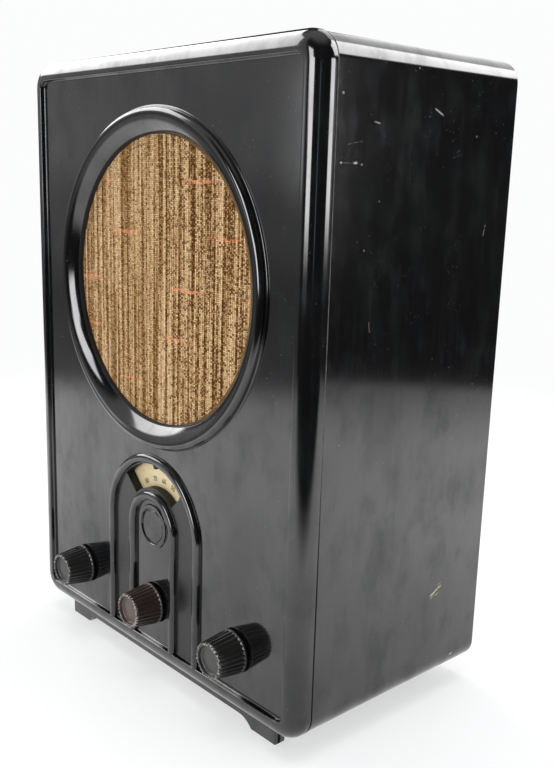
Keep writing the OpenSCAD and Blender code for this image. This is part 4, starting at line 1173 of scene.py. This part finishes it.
COIL_Y, BAND_SHIFT = 62, 11.5
cotton = grained((0.20, 0.075, 0.022), (0.46, 0.21, 0.07), (0.4, 2), (8, 2), 0.6, 0.5, 0.25, 0.03)
copper = finish("cotton_wire", cotton)
winding_sizes = {"Turns": 17.0, "Pitch": 0.00074, "Radius": 0.01845, "Resolution": 28}
winding = winding_tree(winding_sizes)
for side, shift in (("left", -BAND_SHIFT), ("right", BAND_SHIFT)):
    band = grown("coil_band_" + side, winding, winding_sizes, copper)
    middle = Matrix.Translation(placed(-KNOB_X + shift, COIL_Y, KNOB_Z))
    band.data.transform(middle @ Matrix.Rotation(math.pi / 2, 4, "Y"))
    round_faces(band.data)
    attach(band, "cabinet")
    if side == "left":
        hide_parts("coil_winding")
dress(brown_laminate, "coil_former")
dress(copper, "swivel_coil")

# ---------- The loudspeaker ----------
# A plywood baffle board carries a pressed basket with a black paper cone. A thin rod leads from
# the cone to the reed of a driver between the poles of a red-lacquered horseshoe magnet.


def plywood(start):
    place, _, y, _ = millimetres(start)
    grain = noise(place, 3, 4, (1, 1, 14), 0.6)
    flame = noise(place, 18, 2, (1, 1, 4))
    ply = rise(abs(y * 0.5 % 1.0 - 0.5), 0.2, 0.3)
    wood = blend(grain * 0.7 + flame * 0.3, (0.20, 0.115, 0.05), (0.46, 0.31, 0.17))
    wood = blend(ply * 0.25, wood, (0.16, 0.09, 0.04))
    return surface(wood, 0.62 + grain * 0.2, grain, 0.06)


def lacquer(deep, light, chip_colour):
    """Brushed or sprayed paint on metal, chipped in places."""

    def paint(start):
        place, *_ = millimetres(start)
        orange_peel = noise(place, 1.4, 2)
        cloud = noise(place, 16, 3)
        chip = rise(noise(place, 4, 4, rough=0.7), 0.66, 0.7)
        colour = blend(chip * 0.8, blend(cloud, deep, light), chip_colour)
        rough = 0.36 + cloud * 0.15 + chip * 0.2
        return surface(colour, rough, orange_peel * 0.6 - chip, 0.04)

    return paint


grey = lacquer((0.085, 0.09, 0.09), (0.14, 0.145, 0.14), (0.3, 0.28, 0.25))
red = lacquer((0.20, 0.02, 0.015), (0.31, 0.035, 0.025), (0.15, 0.14, 0.13))
dress(finish("birch_plywood", plywood), "baffle_board")
fibres = (0.8, 4, (1, 1, 1), 0.7)
pulp = grained((0.018, 0.015, 0.012), (0.06, 0.05, 0.042), fibres, (12, 2), 0.7, 0.82, 0.12, 0.06)
dress(finish("black_pulp", pulp), "speaker_cone")
dress(finish("grey_lacquer", grey), "speaker_basket", "speaker_bridge")
dress(finish("red_lacquer", red), "speaker_magnet")
dress(brown_laminate, "speaker_coil")
dress(steel, "speaker_rod", "baffle_screws")

# ---------- The chassis ----------
# A bent tray of zinc-plated sheet on four posts of the cabinet's floor, held from below by
# screws with hexagon nuts.


def zinc(start):
    place, *_ = millimetres(start)
    rolled = noise(place, 1.2, 2, (16, 1, 1))
    bloom = noise(place, 9, 4, rough=0.62)
    white = rise(bloom, 0.55, 0.75)
    rust = rise(noise(place, 6, 5, rough=0.7), 0.68, 0.76)
    colour = blend(white * 0.5, (0.42, 0.43, 0.42), (0.62, 0.63, 0.60))
    colour = blend(rust * 0.8, colour, (0.20, 0.10, 0.045))
    rough, metal = 0.42 + white * 0.2 + rolled * 0.08, 0.85 - white * 0.3 - rust * 0.5
    return surface(colour, rough, rolled * 0.4 + white * 0.4, 0.015, Metallic=metal)


dress(finish("zinc_sheet", zinc), "chassis")
dress(steel, "chassis_screws")

# ---------- The valves ----------
# Three glass valves with phenolic bases and steel anodes between mica discs. Their glass is
# silvered at the top by the getter.

SILVER_FROM, SILVER_TO = 164, 172


def clouded(deep, light, cloud, gloss, spread, skin, height):
    """A moulded, glazed or scorched skin: two tones in soft clouds, and a fine unevenness."""

    def paint(start):
        place, *_ = millimetres(start)
        tone = noise(place, *cloud)
        colour = blend(tone, deep, light)
        return surface(colour, gloss + tone * spread, noise(place, *skin), height)

    return paint


def valve_glass(start):
    place, *_, z = millimetres(start)
    silver = rise(z + noise(place, 5, 3) * 5, SILVER_FROM, SILVER_TO)
    dust = noise(place, 3, 3)
    return {
        "Base Color": blend(silver, (0.80, 0.84, 0.83), (0.42, 0.42, 0.43)),
        "Metallic": silver * 0.9,
        "Roughness": 0.05 + dust * 0.06 + silver * 0.1,
        "Alpha": 0.2 + silver * 0.75 + dust * 0.06,
    }


def recast(node, name, material, body="cabinet", angle=35):
    """A CAD solid's own shape with its facets shaded smooth, standing for the node."""
    mesh = weld(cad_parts[node].data, 2e-6, False, bpy.data.meshes.new(name))
    piece = smooth(set_down(name, mesh), angle)
    coat(piece.data, material)
    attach(piece, body)
    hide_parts(node)
    return piece


moulding = clouded((0.016, 0.009, 0.006), (0.045, 0.024, 0.014), (5, 3), 0.28, 0.15, (1.5, 2), 0.01)
base_brown = finish("brown_moulding", moulding, Coat_Weight=0.3, Coat_Roughness=0.12)
nickel = clouded((0.035, 0.035, 0.037), (0.16, 0.16, 0.165), (5, 3), 0.42, 0.2, (0.6, 2), 0.02)
glass = finish("valve_glass", valve_glass, IOR=1.5)
for valve in ("detector", "output", "rectifier"):
    dress(base_brown, valve + "_base")
    recast(valve + "_bulb", valve + "_envelope", glass, angle=60)
dress(base_brown, "valve_sockets")
dress(finish("anode_nickel", nickel, Metallic=0.7), "valve_electrodes")

# ---------- The transformers and small parts ----------
# Mains and coupling transformers on laminated cores, a tinned capacitor block, a fuse in a
# porcelain cradle, and paper capacitors and resistors on a tag board under the deck.

FUSE_X, CAP_FROM = 8.0, 12.4


def core_iron(start):
    place, *_ = millimetres(start)
    sheets = noise(place, 0.5, 1, (60, 1, 60))
    rust = rise(noise(place, 7, 4, rough=0.65), 0.5, 0.75)
    iron = blend(rust * 0.6, (0.06, 0.062, 0.068), (0.14, 0.075, 0.04))
    return surface(iron, 0.5 + sheets * 0.2, sheets, 0.12)


def waxed_paper(start):
    place, *_ = millimetres(start)
    wax = noise(place, 4, 3)
    ends = noise(place, 1.0, 2)
    paper = blend(wax, (0.42, 0.28, 0.12), (0.66, 0.50, 0.28))
    return surface(paper, 0.34 + ends * 0.25, wax * 0.7 + ends * 0.3, 0.08)


def banded_body(start):
    place, x, *_ = millimetres(start)
    band = rise(abs((x + 20) / 4.4 % 1.0 - 0.5), 0.2, 0.24)
    cloud = noise(place, 3, 2)
    colour = blend(band * 0.8, (0.20, 0.085, 0.04), (0.42, 0.30, 0.06))
    return surface(colour, 0.4 + cloud * 0.2, cloud, 0.02)


def clear_tube(start):
    _, x, *_ = millimetres(start)
    cap = rise(abs(x - FUSE_X), CAP_FROM, CAP_FROM + 0.4)
    return {
        "Base Color": blend(cap, (0.8, 0.85, 0.84), (0.6, 0.6, 0.57)),
        "Metallic": cap,
        "Roughness": 0.08 + cap * 0.2,
        "Alpha": 0.3 + cap * 0.7,
    }


dress(finish("core_iron", core_iron, Metallic=0.5), "mains_core", "coupling_core")
oiled = grained(
    (0.26, 0.155, 0.055), (0.52, 0.38, 0.19), (0.9, 2, (20, 20, 1)), (9, 3), 0.3, 0.48, 0.2, 0.06
)
dress(finish("oiled_paper", oiled), "mains_coil", "coupling_winding")
dress(finish("tinned_can", plated((0.60, 0.60, 0.56), 0.36), Metallic=0.9), "filter_capacitor")
dress(brown_laminate, "tag_board")
dress(finish("banded_resistor", banded_body), "resistors")
dress(finish("waxed_paper", waxed_paper), "paper_capacitors")
porcelain = clouded((0.66, 0.62, 0.53), (0.80, 0.78, 0.70), (2, 3), 0.16, 0.12, (5, 2), 0.03)
dress(finish("glazed_porcelain", porcelain, IOR=1.55), "fuse_holder")
dress(finish("fuse_glass", clear_tube), "fuse")

# ---------- The rear controls ----------
# The mains switch with its ball-ended lever, a laminate strip with three brass sockets for
# aerial and earth, and a rubber grommet in the cord's inlet.

dress(base_brown, "switch_body")
dress(brown_laminate, "socket_strip")
recast("switch_bush", "switch_collar", steel)
recast("switch_lever", "switch_toggle", steel, "switch_lever", 60)
recast("aerial_sockets", "aerial_socket_tubes", brass)
bloom = (2.5, 4, (1, 1, 1), 0.6)
rubber = clouded((0.018, 0.017, 0.016), (0.05, 0.047, 0.043), bloom, 0.66, 0.2, bloom, 0.03)
recast("cord_grommet", "inlet_grommet", finish("old_rubber", rubber))

# ---------- The back cover ----------
# Brown pressed fibreboard with round vents and slots, held by four slotted screws whose slots
# stand as the last hand left them.


def fibreboard(start):
    place, *_, z = millimetres(start)
    fibre = noise(place, 0.9, 4, rough=0.7)
    mottle = noise(place, 14, 4, rough=0.6)
    fleck = rise(noise(place, 1.3, 2), 0.64, 0.74)
    warm = rise(z, 120, 330) * 0.25
    colour = blend(fibre * 0.5 + mottle * 0.5, (0.085, 0.045, 0.022), (0.235, 0.14, 0.075))
    colour = blend(fleck * 0.35, colour, (0.36, 0.24, 0.14))
    colour = blend(warm, colour, (0.06, 0.033, 0.018))
    return surface(colour, 0.62 + fibre * 0.25, fibre * 0.8 + mottle * 0.2, 0.09)


dress(finish("pressed_fibreboard", fibreboard), "back_cover")
COVER_T, SCREWS_Z = 3, 192.5
SAW, SPIN_LIMIT = 0.9, 1.4


def slotted_head(radius, height, shank_r, shank):
    """Domed screw with a sawn slot, in millimetres: its head's underside at y = 0, facing back."""
    dome_r = (radius ** 2 + height ** 2) / (2 * height)
    angles = np.linspace(math.asin(radius / dome_r), 0, 7)
    dome = [(dome_r * math.sin(a), dome_r * math.cos(a) - dome_r + height) for a in angles]
    profile = [(0, -shank), (shank_r, -shank), (shank_r, 0), (radius, 0)] + dome
    screw = lathe("screw", 0, 0, [(r, -f) for r, f in profile], 28)
    saw = [(-radius, -SAW / 2), (radius, -SAW / 2), (radius, SAW / 2), (-radius, SAW / 2)]
    carve(screw, [prism("cut", saw, height * 0.5, height + 1)])
    screw.data.transform(Matrix.Translation(-placed(0, 0, 0)))
    smooth(screw, 40)
    mesh = screw.data
    bpy.data.objects.remove(screw)
    return mesh


def screws_tree(sizes):
    """The incoming screw at four corners of a rectangle, each turned by chance about its axis."""
    inputs = tree_of("Cover screws", sizes)
    width, height = inputs["Width"], inputs["Height"]
    corners = width.shape("MeshGrid", {0: width, 1: height, 2: 2, 3: 2})
    upright = width.vector(math.pi / 2, 0.0, 0.0)
    stood = corners.shape("Transform", {0: corners, "Rotation": upright})
    limits = {2: -SPIN_LIMIT, 3: SPIN_LIMIT, "Seed": inputs["Seed"]}
    chance = width.node("FunctionNodeRandomValue", limits, output=1, data_type="FLOAT")
    spin = chance.vector(0.0, chance, 0.0)
    sockets = {"Points": stood, "Instance": inputs["Geometry"], "Rotation": spin}
    return close_tree(inputs, stood.shape("InstanceOnPoints", sockets))


screw_sizes = {"Width": 0.258, "Height": 0.363, "Seed": 5}
head = slotted_head(radius=4, height=2.4, shank_r=1.6, shank=16)
screws = grown("cover_screws", screws_tree(screw_sizes), screw_sizes, steel, head)
screws.data.transform(Matrix.Translation(placed(0, COVER_Y + COVER_T, SCREWS_Z)))
round_faces(screws.data)
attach(screws, "cabinet")
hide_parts("back_screws")
